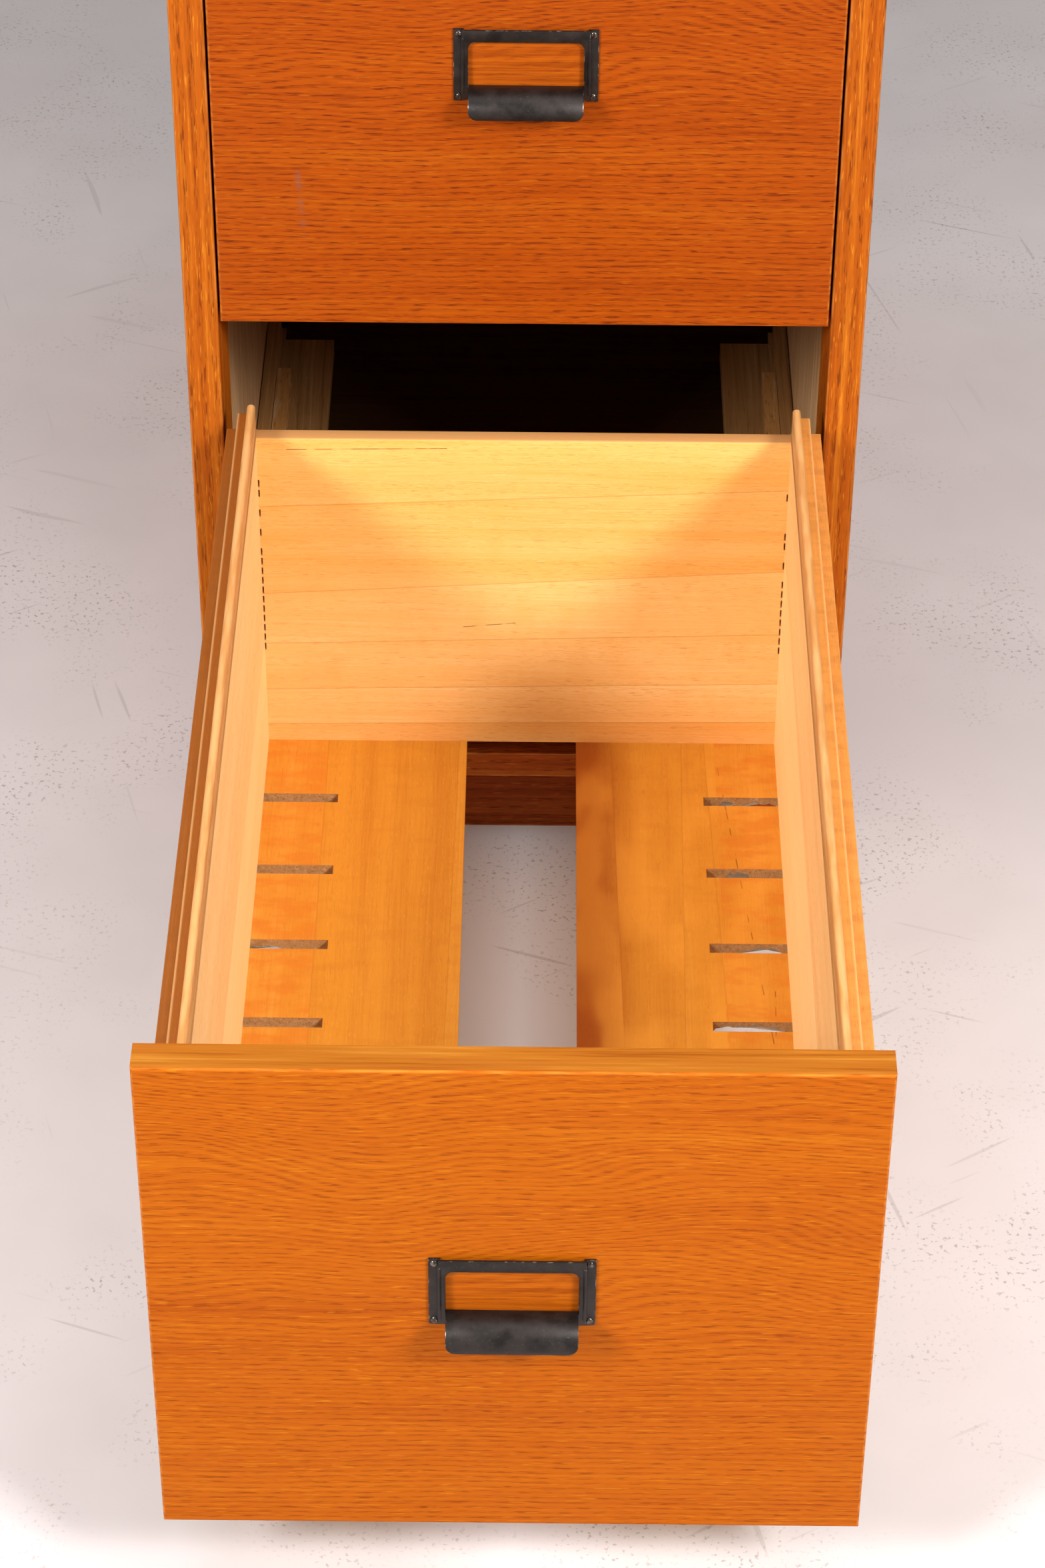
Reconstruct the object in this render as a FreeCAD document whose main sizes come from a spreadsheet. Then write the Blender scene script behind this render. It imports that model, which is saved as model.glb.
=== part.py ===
import FreeCAD, Part
import os
import Sketcher
from FreeCAD import Placement, Rotation, Vector

# Vertical filing cabinet in oak: four inset drawers on wooden telescopic slides.
#
# Frame: +X to the right, +Y from the front towards the back, +Z up.  The origin is on the
# floor, in the plane of the drawer fronts, midway between the two sides.  The bottom drawer
# stands at its outer stop, and the three above it are shut.
#
# Each piece of a drawer is drawn for a shut drawer whose front has its lower edge at z = 0.
# Its Placement then lifts it to its own bay and, on the bottom drawer, pulls it out.

doc = FreeCAD.newDocument("filing_cabinet")

# ---------------------------------------------------------------- driving dimensions, mm
DIMENSIONS = [
    # the carcass
    ("cab_width", 394.0),         # over the two sides
    ("cab_depth", 680.0),         # from the drawer fronts to the back
    ("carcass_high", 1323.0),     # floor to the underside of the top board
    ("top_thick", 24.0),
    ("top_overhang", 5.0),        # at the front and both sides
    ("post_thick", 19.6),         # width of a post as seen from the front
    ("front_post_deep", 62.0),
    ("rear_post_deep", 50.0),
    ("panel_inset", 9.0),         # from a post's inner face to the panel
    ("panel_thick", 5.0),
    ("side_rail_high", 74.0),
    ("front_rail_top", 61.0),
    ("front_rail_high", 18.0),
    ("front_rail_thick", 20.0),
    ("plinth_setback", 3.0),
    ("bottom_base", 22.0),        # floor to the underside of the bottom panel
    ("bottom_thick", 8.0),
    ("back_panel_at", 661.0),
    ("arris", 1.6),               # rounding of the worn outer edges
    # the drawers
    ("drawer_count", 4.0),
    ("front_width", 352.0),
    ("front_high", 312.0),
    ("front_thick", 17.4),
    ("first_front", 63.0),        # floor to the lower edge of the bottom front
    ("pitch", 315.0),             # from one drawer to the next
    ("drawer_long", 630.0),       # front face to rear end, and its whole travel
    ("box_half", 157.6),          # half of the clear width inside a drawer
    ("side_thick", 5.2),
    ("side_foot", 1.5),           # lower edge of the side boards
    ("wall_top", 241.0),
    ("strip_setback", 0.6),       # how far the tall strip stands back from the wall below
    ("strip_top", 258.0),
    ("middle_step_out", 168.6),
    ("middle_step_top", 252.0),
    ("cheek_out", 175.5),
    ("cheek_foot", 15.4),
    ("back_thick", 9.6),
    ("floor_base", 7.0),
    ("floor_thick", 8.0),
    ("floor_housing", 2.5),       # how deep the floor sits in the side board
    ("slot_half", 34.0),          # half of the open slot along the middle of the floor
    ("cross_count", 8.0),         # short cross slots beside each wall, for divider plates
    ("cross_first", 86.3),        # front face to the middle of the first cross slot
    ("cross_pitch", 68.1),
    ("cross_wide", 8.2),
    ("cross_long", 45.6),
    # the telescopic slides
    ("lath_long", 620.0),
    ("lath_shut", 30.2),          # front end of a lath when its drawer is shut
    ("lath_ratio", 0.375),        # travel of a lath for each unit of its drawer's travel
    ("lath_in", 166.2),
    ("lath_out", 175.8),
    ("lath_base", 0.4),
    ("lath_high", 14.4),
    ("tongue_high", 3.8),
    ("tongue_long", 3.2),
    ("slide_gap", 0.4),
    ("bearer_start", 20.4),
    ("bearer_end", 474.0),
    ("bearer_in", 139.0),
    ("bearer_thick", 12.0),
    ("bearer_gap", 0.8),          # open joint between a bearer and the side panel
    ("stop_size", 30.0),
    # the label pull
    ("pull_base", 147.0),         # lower edge of the front to the lower edge of the pull
    ("pull_high", 44.5),
    ("pull_half", 40.2),
    ("steel", 1.2),               # thickness of the pressed steel
    ("frame_half", 35.0),
    ("frame_stand", 1.6),         # room for a card behind the raised frame
    ("frame_drop", 0.8),          # top of the raised frame below the top of the flanges
    ("window_half", 32.0),
    ("window_base", 9.7),
    ("window_high", 27.3),
    ("corner", 4.2),
    ("bead", 0.8),
    ("bead_end", 4.4),
    ("lip_flat", 3.5),
    ("lip_bend", 12.7),
    ("lip_tail", 0.7),
    ("pin_side", 2.9),            # from a pin to the edge of the flange
    ("pin_end", 3.0),
    ("pin_radius", 1.0),
    ("pin_hole", 10.0),           # depth of its hole in the oak
    ("pin_tip", 1.0),             # clear space past the pin's end
    ("pin_head", 2.1),
    ("pin_head_high", 1.2),
    ("pin_gap", 0.05),
    # shapes that only cut, or sink into a neighbour before they are joined
    ("overrun", 1.0),             # how far they pass the face they meet
]

dims = doc.addObject("Spreadsheet::Sheet", "dims")
for row, (alias, number) in enumerate(DIMENSIONS, start=1):
    dims.set("A%d" % row, alias)
    dims.set("B%d" % row, str(number))
    dims.setAlias("B%d" % row, alias)
doc.recompute()

D = {alias: "dims." + alias for alias, number in DIMENSIONS}
sub_parts = []


def text(expression):
    """An expression with each {alias} written as a reference to the sheet."""
    return expression.format(**D)


def bind(thing, prop, expression):
    thing.setExpression(prop, text(expression))


def put(thing, x="0", y="0", z="0"):
    """Place an object by three expressions in millimetres."""
    for axis, expression in zip("xyz", (x, y, z)):
        bind(thing, "Placement.Base." + axis, "(" + expression + ") * 1 mm")


def keep(thing, label):
    """Count an object as one finished sub-part of the cabinet."""
    thing.Label = label
    sub_parts.append(thing)
    return thing


def block(name, x, y, z, size):
    """A box from its low corner and its size, all as expressions."""
    box = doc.addObject("Part::Box", name)
    for prop, expression in zip(("Length", "Width", "Height"), size):
        bind(box, prop, expression)
    put(box, x, y, z)
    return box


def rod(name, x, y, z, radius, length, turn):
    """A cylinder that starts at a point and runs along the turned Z axis."""
    cylinder = doc.addObject("Part::Cylinder", name)
    cylinder.Placement = Placement(Vector(0, 0, 0), turn)
    bind(cylinder, "Radius", radius)
    bind(cylinder, "Height", length)
    put(cylinder, x, y, z)
    return cylinder


def join(name, shapes):
    fuse = doc.addObject("Part::MultiFuse", name)
    fuse.Shapes = shapes
    fuse.Refine = True
    return fuse


def cut(name, base, tool):
    result = doc.addObject("Part::Cut", name)
    result.Base = base
    result.Tool = tool
    result.Refine = True
    return result


def group(label, shapes):
    """Separate solids of one kind that share a node."""
    compound = doc.addObject("Part::Compound", label)
    compound.Links = shapes
    return keep(compound, label)


TOUCH = 0.01                                      # mm, for telling edges apart
ALONG_BACK = Rotation(Vector(1, 0, 0), -90)      # local Z along +Y
ALONG_FRONT = Rotation(Vector(1, 0, 0), 90)      # local Z along -Y


# ---------------------------------------------------------------- sketches and bodies
def origin_feature(body, role):
    return [item for item in body.Origin.OriginFeatures if item.Role == role][0]


def outline(body, name, plane, points):
    """A closed sketch whose corners are held by expressions for their two coordinates."""
    sketch = body.newObject("Sketcher::SketchObject", name)
    sketch.AttachmentSupport = [(origin_feature(body, plane), "")]
    sketch.MapMode = "FlatFace"
    values = [[sheet_value(part) for part in point] for point in points]
    count = len(points)
    for index in range(count):
        start = values[index]
        end = values[(index + 1) % count]
        sketch.addGeometry(Part.LineSegment(Vector(*start, 0), Vector(*end, 0)), False)
    for index in range(count):
        after = (index + 1) % count
        sketch.addConstraint(Sketcher.Constraint("Coincident", index, 2, after, 1))
    for index, point in enumerate(points):
        for kind, part, value in zip(("DistanceX", "DistanceY"), point, values[index]):
            number = sketch.addConstraint(Sketcher.Constraint(kind, -1, 1, index, 1, value))
            sketch.setExpression("Constraints[%d]" % number, text(part))
    return sketch


def sheet_value(expression):
    """The present value of an expression, as a start for the sketch's solver."""
    result = dims.evalExpression(text(expression))
    return float(getattr(result, "Value", result))


def extrusion(name, plane, points, length, reverse):
    """A body made by padding one outline."""
    body = doc.addObject("PartDesign::Body", name)
    sketch = outline(body, name + "_outline", plane, points)
    pad = body.newObject("PartDesign::Pad", name + "_pad")
    pad.Profile = sketch
    bind(pad, "Length", length)
    pad.Reversed = reverse
    body.Tip = pad
    return body


def edges_where(shape, test):
    return ["Edge%d" % (n + 1) for n, edge in enumerate(shape.Edges) if test(edge)]


def round_edges(body, name, radius, test):
    """Fillet the edges of a body's present tip that pass a test."""
    doc.recompute()
    base = body.Tip
    fillet = body.newObject("PartDesign::Fillet", name)
    fillet.Base = (base, edges_where(base.Shape, test))
    bind(fillet, "Radius", radius)
    body.Tip = fillet
    return fillet


def mirror_x(points, hand):
    return [("%s * (%s)" % (hand, x), z) for x, z in points]


# ---------------------------------------------------------------- the carcass
HANDS = (("left", "-1"), ("right", "1"))
INNER = "({cab_width} / 2 - {post_thick})"        # inner face of a post
RECESS = "(" + INNER + " + {panel_inset})"        # inner face of a side panel
FIRST_SIDE_RAIL = "0"
MIDDLE_SIDE_RAIL = "({carcass_high} - {side_rail_high}) / 2"
LAST_SIDE_RAIL = "{carcass_high} - {side_rail_high}"
RAIL_LEVELS = (FIRST_SIDE_RAIL, MIDDLE_SIDE_RAIL, LAST_SIDE_RAIL)


def sided(hand, near, width):
    """Low X of a box that starts a distance from the middle, on either hand."""
    if hand == "1":
        return near
    return "-(" + near + ") - (" + width + ")"


def post(label, hand, start, deep):
    x = sided(hand, INNER, "{post_thick}")
    body = extrusion(label, "XY_Plane", [
        (x, start), (x + " + {post_thick}", start),
        (x + " + {post_thick}", start + " + " + deep), (x, start + " + " + deep)],
        "{carcass_high}", False)
    round_edges(body, label + "_arris", "{arris}",
                lambda edge: abs(edge.tangentAt(edge.FirstParameter).z) > 0.9)
    keep(body, label)


def side(side_name, hand):
    """One side: two posts, a panel of vertical boards and three rails outside it."""
    post(side_name + "_front_post", hand, "0", "{front_post_deep}")
    post(side_name + "_rear_post", hand, "{cab_depth} - {rear_post_deep}", "{rear_post_deep}")
    deep = "{cab_depth} - {front_post_deep} - {rear_post_deep}"
    keep(block(side_name + "_panel", sided(hand, RECESS, "{panel_thick}"), "{front_post_deep}", "0",
               ("{panel_thick}", deep, "{carcass_high}")), side_name + "_side_panel")
    rail_in = RECESS + " + {panel_thick}"
    rail_thick = "({cab_width} / 2 - (" + rail_in + "))"
    rails = [block("%s_rail_%d" % (side_name, n), sided(hand, rail_in, rail_thick), "{front_post_deep}", z,
                   (rail_thick, deep, "{side_rail_high}")) for n, z in enumerate(RAIL_LEVELS)]
    group(side_name + "_side_rails", rails)


for side_name, hand in HANDS:
    side(side_name, hand)

BETWEEN = "(2 * " + INNER + ")"

keep(block("plinth", "-" + INNER, "{plinth_setback}", "0",
           (BETWEEN, "{front_rail_thick} - {plinth_setback}", "{front_rail_top} - {front_rail_high}")),
     "plinth_board")
keep(block("front_rail", "-" + INNER, "0", "{front_rail_top} - {front_rail_high}",
           (BETWEEN, "{front_rail_thick}", "{front_rail_high}")), "bottom_front_rail")
keep(block("bottom", "-" + INNER, "{front_rail_thick}", "{bottom_base}",
           (BETWEEN, "{back_panel_at} - {front_rail_thick}", "{bottom_thick}")), "bottom_panel")
keep(block("back", "-" + INNER, "{back_panel_at}", "0",
           (BETWEEN, "{panel_thick}", "{carcass_high}")), "back_panel")
BACK_RAIL_AT = "({back_panel_at} + {panel_thick})"
group("back_rails", [
    block("back_rail_%d" % n, "-" + INNER, BACK_RAIL_AT, z,
          (BETWEEN, "{cab_depth} - " + BACK_RAIL_AT, "{side_rail_high}"))
    for n, z in enumerate(RAIL_LEVELS)])

TOP_HALF = "({cab_width} / 2 + {top_overhang})"
top = extrusion("top", "XY_Plane", [
    ("-" + TOP_HALF, "-{top_overhang}"), (TOP_HALF, "-{top_overhang}"),
    (TOP_HALF, "{cab_depth}"), ("-" + TOP_HALF, "{cab_depth}")], "{top_thick}", False)
round_edges(top, "top_edges", "2 * {arris}",
            lambda edge: abs(edge.tangentAt(edge.FirstParameter).z) < 0.1)
put(top, z="{carcass_high}")
keep(top, "top_board")


# ---------------------------------------------------------------- bearers, guides and stops
def bay_level(bay):
    """Height of the lower edge of a drawer's front above the floor."""
    return "({first_front} + %d * {pitch})" % bay


TONGUE_BASE = "({lath_base} + ({lath_high} - {tongue_high}) / 2)"
GUIDE_IN = "({lath_out} + {slide_gap})"


def bearer(name, hand, bay):
    """A flat board notched round the front post."""
    inner_wide = "(" + INNER + " - {slide_gap} / 2 - {bearer_in})"
    outer_near = "(" + INNER + " - {slide_gap} / 2)"
    outer_wide = "(" + RECESS + " - {bearer_gap} - " + outer_near + ")"
    base = bay_level(bay) + " - {bearer_thick}"
    behind_post = "({front_post_deep} + {slide_gap})"
    inner = block(name + "_inner", sided(hand, "{bearer_in}", inner_wide), "{bearer_start}", base,
                  (inner_wide, "{bearer_end} - {bearer_start}", "{bearer_thick}"))
    outer = block(name + "_outer", sided(hand, outer_near, outer_wide), behind_post, base,
                  (outer_wide, "{bearer_end} - " + behind_post, "{bearer_thick}"))
    return join(name, [inner, outer])


def guide(name, hand, bay):
    """The strip on a bearer whose tongue runs in the outer groove of the lath."""
    wide = "(" + RECESS + " - {bearer_gap} - " + GUIDE_IN + ")"
    start = "({front_post_deep} + {slide_gap})"
    long = "({bearer_end} - " + start + ")"
    strip = block(name + "_strip", sided(hand, GUIDE_IN, wide), start, bay_level(bay),
                  (wide, long, "{lath_base} + {lath_high}"))
    tongue_in = "(" + GUIDE_IN + " - {tongue_long})"
    tongue = block(name + "_tongue", sided(hand, tongue_in, "{tongue_long} + {overrun}"), start,
                   bay_level(bay) + " + " + TONGUE_BASE,
                   ("{tongue_long} + {overrun}", long, "{tongue_high}"))
    return join(name, [strip, tongue])


def stops(bay):
    """Two blocks on the back panel that the shut drawer meets."""
    start = "({drawer_long} + {slide_gap})"
    level = bay_level(bay) + " + {stop_size}"
    return [block("stop_%d_%s" % (bay, name), sided(hand, "{box_half} / 2", "{stop_size}"), start, level,
                  ("{stop_size}", "{back_panel_at} - " + start, "{stop_size}")) for name, hand in HANDS]


BAYS = range(int(dims.drawer_count))
for side_name, hand in HANDS:
    group(side_name + "_bearers", [bearer("%s_bearer_%d" % (side_name, bay), hand, bay) for bay in BAYS])
    group(side_name + "_guides", [guide("%s_guide_%d" % (side_name, bay), hand, bay) for bay in BAYS])
group("drawer_stops", [stop for bay in BAYS for stop in stops(bay)])


# ---------------------------------------------------------------- one drawer
def pin_places():
    """X and Z of the four pins that hold a pull."""
    return [("%s * ({pull_half} - {pin_side})" % hand, z) for name, hand in HANDS
            for z in ("({pull_base} + {pin_end})", "({pull_base} + {pull_high} - {pin_end})")]


def drawer_front(name):
    """The oak board, with its outer edges rounded and four holes for the pull's pins."""
    half = "({front_width} / 2)"
    body = extrusion(name, "XZ_Plane", [
        ("-" + half, "0"), (half, "0"), (half, "{front_high}"), ("-" + half, "{front_high}")],
        "{front_thick}", True)
    round_edges(body, name + "_arris", "{arris}", lambda edge: edge.BoundBox.YMax < TOUCH)
    doc.recompute()
    before = body.Shape.Volume
    sketch = body.newObject("Sketcher::SketchObject", name + "_holes")
    sketch.AttachmentSupport = [(origin_feature(body, "XZ_Plane"), "")]
    sketch.MapMode = "FlatFace"
    for index, (x, z) in enumerate(pin_places()):
        centre = Vector(sheet_value(x), sheet_value(z), 0)
        sketch.addGeometry(Part.Circle(centre, Vector(0, 0, 1), sheet_value("{pin_radius}")), False)
        for kind, part in (("DistanceX", x), ("DistanceY", z)):
            number = sketch.addConstraint(
                Sketcher.Constraint(kind, -1, 1, index, 3, sheet_value(part)))
            sketch.setExpression("Constraints[%d]" % number, text(part))
        number = sketch.addConstraint(Sketcher.Constraint("Radius", index, sheet_value("{pin_radius}")))
        sketch.setExpression("Constraints[%d]" % number, text("{pin_radius} + {pin_gap}"))
    holes = body.newObject("PartDesign::Pocket", name + "_pin_holes")
    holes.Profile = sketch
    bind(holes, "Length", "{pin_hole}")
    body.Tip = holes
    doc.recompute()
    if body.Shape.Volume >= before:
        raise RuntimeError(name + ": the pin holes cut nothing")
    return body


def side_board(name, hand):
    """The thin inner wall, with the tall rounded strip above it and a housing for the floor."""
    wall = "{box_half}"
    strip = "({box_half} + {strip_setback})"
    outer = "({box_half} + {side_thick})"
    housing = "({box_half} + {floor_housing})"
    floor_top = "({floor_base} + {floor_thick})"
    points = [(wall, "{side_foot}"), (outer, "{side_foot}"), (outer, "{strip_top}"),
              (strip, "{strip_top}"), (strip, "{wall_top}"), (wall, "{wall_top}"),
              (wall, floor_top), (housing, floor_top), (housing, "{floor_base}"),
              (wall, "{floor_base}")]
    body = extrusion(name, "XZ_Plane", mirror_x(points, hand), "{drawer_long} - {front_thick}", True)
    crest = sheet_value("{strip_top}")
    round_edges(body, name + "_round", "{side_thick} / 2 - {strip_setback}",
                lambda edge: edge.BoundBox.ZMin > crest - TOUCH and edge.BoundBox.YLength > TOUCH)
    return body


def cheek(name, hand):
    """The thick outer board: two steps at its top, and the tongue that runs in the lath."""
    near = "({box_half} + {side_thick})"
    leg = "({lath_in} - {slide_gap})"
    tongue = "({lath_in} - {slide_gap} + {tongue_long})"
    tongue_top = TONGUE_BASE + " + {tongue_high}"
    points = [(near, "{side_foot}"), (leg, "{side_foot}"), (leg, TONGUE_BASE),
              (tongue, TONGUE_BASE), (tongue, tongue_top), (leg, tongue_top),
              (leg, "{cheek_foot}"), ("{cheek_out}", "{cheek_foot}"), ("{cheek_out}", "{wall_top}"),
              ("{middle_step_out}", "{wall_top}"), ("{middle_step_out}", "{middle_step_top}"),
              (near, "{middle_step_top}")]
    body = extrusion(name, "XZ_Plane", mirror_x(points, hand), "{drawer_long} - {front_thick}", True)
    corners = [(sheet_value("{cheek_out}"), sheet_value("{wall_top}")),
               (sheet_value("{middle_step_out}"), sheet_value("{middle_step_top}"))]

    def outer_top(edge):
        """The two long arrises that show from above."""
        box = edge.BoundBox
        reach = max(abs(box.XMin), abs(box.XMax))
        return box.YLength > TOUCH and any(
            abs(reach - x) < TOUCH and abs(box.ZMin - z) < TOUCH and box.ZLength < TOUCH
            for x, z in corners)

    round_edges(body, name + "_round", "{arris} / 2", outer_top)
    return body


def floor_board(name, hand):
    """One half of the floor, with cross slots sawn through it from its outer edge."""
    outer = "({box_half} + {floor_housing})"
    body = extrusion(name, "XY_Plane", mirror_x([
        ("{slot_half}", "0"), (outer, "0"), (outer, "{drawer_long} - {front_thick}"),
        ("{slot_half}", "{drawer_long} - {front_thick}")], hand), "{floor_thick}", False)
    doc.recompute()
    before = body.Shape.Volume
    near = "({cross_first} - {cross_wide} / 2 - {front_thick})"
    far = "(" + near + " + {cross_wide})"
    end = "({box_half} - {cross_long})"
    sketch = outline(body, name + "_cross_outline", "XY_Plane", mirror_x([
        (end, near), (outer, near), (outer, far), (end, far)], hand))
    bind(sketch, "AttachmentOffset.Base.z", "{floor_thick} * 1 mm")
    slot = body.newObject("PartDesign::Pocket", name + "_cross_slot")
    slot.Profile = sketch
    bind(slot, "Length", "{floor_thick}")
    body.Tip = slot
    doc.recompute()
    if body.Shape.Volume >= before:
        raise RuntimeError(name + ": the cross slot cuts nothing")
    row = body.newObject("PartDesign::LinearPattern", name + "_cross_slots")
    row.Originals = [slot]
    row.Direction = (origin_feature(body, "Y_Axis"), [""])
    bind(row, "Length", "({cross_count} - 1) * {cross_pitch}")
    bind(row, "Occurrences", "{cross_count}")
    body.Tip = row
    return body


def pull(name):
    """The pressed steel label frame, with its hood for the fingers."""
    top = "({pull_base} + {pull_high})"
    frame_top = "(" + top + " - {frame_drop})"
    window_low = "({pull_base} + {window_base})"
    window_top = "(" + window_low + " + {window_high})"
    face = "({frame_stand} + {steel})"
    flange = "({pull_half} - {frame_half} + {steel})"
    solids = []
    for side_name, hand in HANDS:
        tag = name + "_" + side_name
        near = "({frame_half} - {steel})"
        solids.append(block(tag + "_flange", sided(hand, near, flange), "-{steel}", "{pull_base}",
                            (flange, "{steel}", "{pull_high}")))
        solids.append(block(tag + "_step", sided(hand, near, "{steel}"), "-" + face, "{pull_base}",
                            ("{steel}", face, frame_top + " - {pull_base}")))
        solids.append(rod(tag + "_bead", "%s * {frame_half}" % hand, "-" + face + " + {bead} / 2",
                          "{pull_base} + {bead_end}", "{bead}", "{pull_high} - 2 * {bead_end}", Rotation()))
    plate = block(name + "_plate", "-{frame_half}", "-" + face, "{pull_base}",
                  ("2 * {frame_half}", "{steel}", frame_top + " - {pull_base}"))
    reach = "(" + face + " + {overrun})"
    hole = [block(name + "_window", "-{window_half}", "-" + reach, window_low,
                  ("2 * {window_half}", reach, "{window_high} - {corner}")),
            block(name + "_window_top", "-{window_half} + {corner}", "-" + reach, window_low,
                  ("2 * ({window_half} - {corner})", reach, "{window_high}"))]
    for side_name, hand in HANDS:
        hole.append(rod(name + "_window_" + side_name, "%s * ({window_half} - {corner})" % hand, "0",
                        window_top + " - {corner}", "{corner}", reach, ALONG_FRONT))
    solids.append(cut(name + "_frame", plate, join(name + "_opening", hole)))
    solids.append(hood(name, face, window_low))
    return drill(name, join(name + "_pressing", solids))


def hood(name, face, root):
    """The lip: a short flat, then a quarter bend down, with its lower corners rounded."""
    centre_y = "-" + face + " - {lip_flat}"
    centre_z = root + " - {lip_bend}"
    outer = rod(name + "_bend", "-{window_half}", centre_y, centre_z, "{lip_bend}",
                "2 * {window_half}", Rotation(Vector(0, 1, 0), 90))
    inner = rod(name + "_hollow", "-{window_half} - {overrun}", centre_y, centre_z,
                "{lip_bend} - {steel}", "2 * ({window_half} + {overrun})", Rotation(Vector(0, 1, 0), 90))
    ring = cut(name + "_ring", outer, inner)
    quarter = block(name + "_quarter", "-{window_half}", centre_y + " - {lip_bend}", centre_z,
                    ("2 * {window_half}", "{lip_bend}", "{lip_bend}"))
    curve = doc.addObject("Part::Common", name + "_curve")
    curve.Base = ring
    curve.Tool = quarter
    flat = block(name + "_flat", "-{window_half}", centre_y, root + " - {steel}",
                 ("2 * {window_half}", "{lip_flat} + {steel}", "{steel}"))
    tail = block(name + "_tail", "-{window_half}", centre_y + " - {lip_bend}", centre_z + " - {lip_tail}",
                 ("2 * {window_half}", "{steel}", "{lip_tail}"))
    lip = join(name + "_lip", [curve, flat, tail])
    low = "(" + centre_z + " - {lip_tail})"
    reach = "({lip_flat} + {lip_bend} + " + face + " + {overrun})"
    mask = [block(name + "_mask", "-{window_half}", "-" + reach, low + " + {corner}",
                  ("2 * {window_half}", reach, "{lip_bend} + {overrun}")),
            block(name + "_mask_low", "-{window_half} + {corner}", "-" + reach, low,
                  ("2 * ({window_half} - {corner})", reach, "{corner} + {overrun}"))]
    for side_name, hand in HANDS:
        mask.append(rod(name + "_mask_" + side_name, "%s * ({window_half} - {corner})" % hand, "0",
                        low + " + {corner}", "{corner}", reach, ALONG_FRONT))
    trimmed = doc.addObject("Part::Common", name + "_hood")
    trimmed.Base = lip
    trimmed.Tool = join(name + "_trim", mask)
    return trimmed


def drill(name, plate):
    drills = [rod("%s_drill_%d" % (name, n), x, "-{steel} - {overrun}", z, "{pin_radius} + {pin_gap}",
                  "{steel} + 2 * {overrun}", ALONG_BACK) for n, (x, z) in enumerate(pin_places())]
    return cut(name, plate, join(name + "_drills", drills))


def pins(name):
    """Four round-headed pins through the flanges of a pull."""
    made = []
    for n, (x, z) in enumerate(pin_places()):
        shank = rod("%s_shank_%d" % (name, n), x, "-{steel}", z, "{pin_radius}",
                    "{steel} + {pin_hole} - {pin_tip}", ALONG_BACK)
        head = doc.addObject("Part::Ellipsoid", "%s_head_%d" % (name, n))
        head.Placement = Placement(Vector(0, 0, 0), ALONG_FRONT)
        head.Angle1 = 0
        bind(head, "Radius1", "{pin_head_high}")
        bind(head, "Radius2", "{pin_head}")
        bind(head, "Radius3", "{pin_head}")
        put(head, x, "-{steel}", z)
        made.append(join("%s_%d" % (name, n), [shank, head]))
    compound = doc.addObject("Part::Compound", name)
    compound.Links = made
    return compound


def lath(name, hand):
    """A hardwood lath with a groove along each side, for the two tongues it slides on."""
    top = "({lath_base} + {lath_high})"
    low = "(" + TONGUE_BASE + " - {slide_gap})"
    high = "(" + TONGUE_BASE + " + {tongue_high} + {slide_gap})"
    inner = "({lath_in} + {tongue_long})"
    outer = "({lath_out} - {tongue_long})"
    points = [("{lath_in}", "{lath_base}"), ("{lath_out}", "{lath_base}"), ("{lath_out}", low),
              (outer, low), (outer, high), ("{lath_out}", high), ("{lath_out}", top),
              ("{lath_in}", top), ("{lath_in}", high), (inner, high), (inner, low), ("{lath_in}", low)]
    return extrusion(name, "XZ_Plane", mirror_x(points, hand), "{lath_long}", True)


def drawer(bay):
    """Every piece of one drawer and of its pair of slides, in its bay."""
    name = "drawer_%d" % (bay + 1)
    out = "{drawer_long}" if bay == 0 else "0"
    level = bay_level(bay)
    behind = "{front_thick} - " + out

    def finish(piece, label, y, z):
        put(piece, y=y, z=z)
        keep(piece, name + "_" + label)

    finish(drawer_front(name + "_front_board"), "front", "-" + out, level)
    for side_name, hand in HANDS:
        finish(side_board(name + "_" + side_name + "_board", hand), side_name + "_side", behind, level)
        finish(cheek(name + "_" + side_name + "_runner", hand), side_name + "_cheek", behind, level)
    floor_top = "({floor_base} + {floor_thick})"
    back = block(name + "_back_board", "-{box_half}", "{drawer_long} - {back_thick} - " + out,
                 level + " + " + floor_top, ("2 * {box_half}", "{back_thick}", "{wall_top} - " + floor_top))
    keep(back, name + "_back")
    finish(pull(name + "_label_pull"), "pull", "-" + out, level)
    finish(pins(name + "_round_pins"), "pull_pins", "-" + out, level)
    floor = [floor_board("%s_%s_bottom" % (name, side_name), hand) for side_name, hand in HANDS]
    for piece in floor:
        put(piece, y=behind, z=level + " + {floor_base}")
    group(name + "_floor_boards", floor)
    laths = [lath("%s_%s_slide" % (name, side_name), hand) for side_name, hand in HANDS]
    for piece in laths:
        put(piece, y="{lath_shut} - {lath_ratio} * " + out, z=level)
    group(name + "_slide_laths", laths)


for bay in BAYS:
    drawer(bay)

# ---------------------------------------------------------------- checks and export
doc.recompute()
for thing in doc.Objects:
    if "Invalid" in thing.State or "Error" in thing.State:
        raise RuntimeError("%s failed: %s" % (thing.Name, thing.State))
for piece in sub_parts:
    if piece.Shape.isNull() or not piece.Shape.isValid():
        raise RuntimeError(piece.Label + " has no valid shape")

os.makedirs("parts", exist_ok=True)
for piece in sub_parts:
    piece.Shape.exportStep("parts/" + piece.Label + ".step")
    box = piece.Shape.BoundBox
    print("%-26s %2d solids  %10.0f mm3  x %7.1f %7.1f  y %7.1f %7.1f  z %7.1f %7.1f" % (
        piece.Label, len(piece.Shape.Solids), piece.Shape.Volume, box.XMin, box.XMax, box.YMin,
        box.YMax, box.ZMin, box.ZMax))
print(len(sub_parts), "sub-parts")
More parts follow.
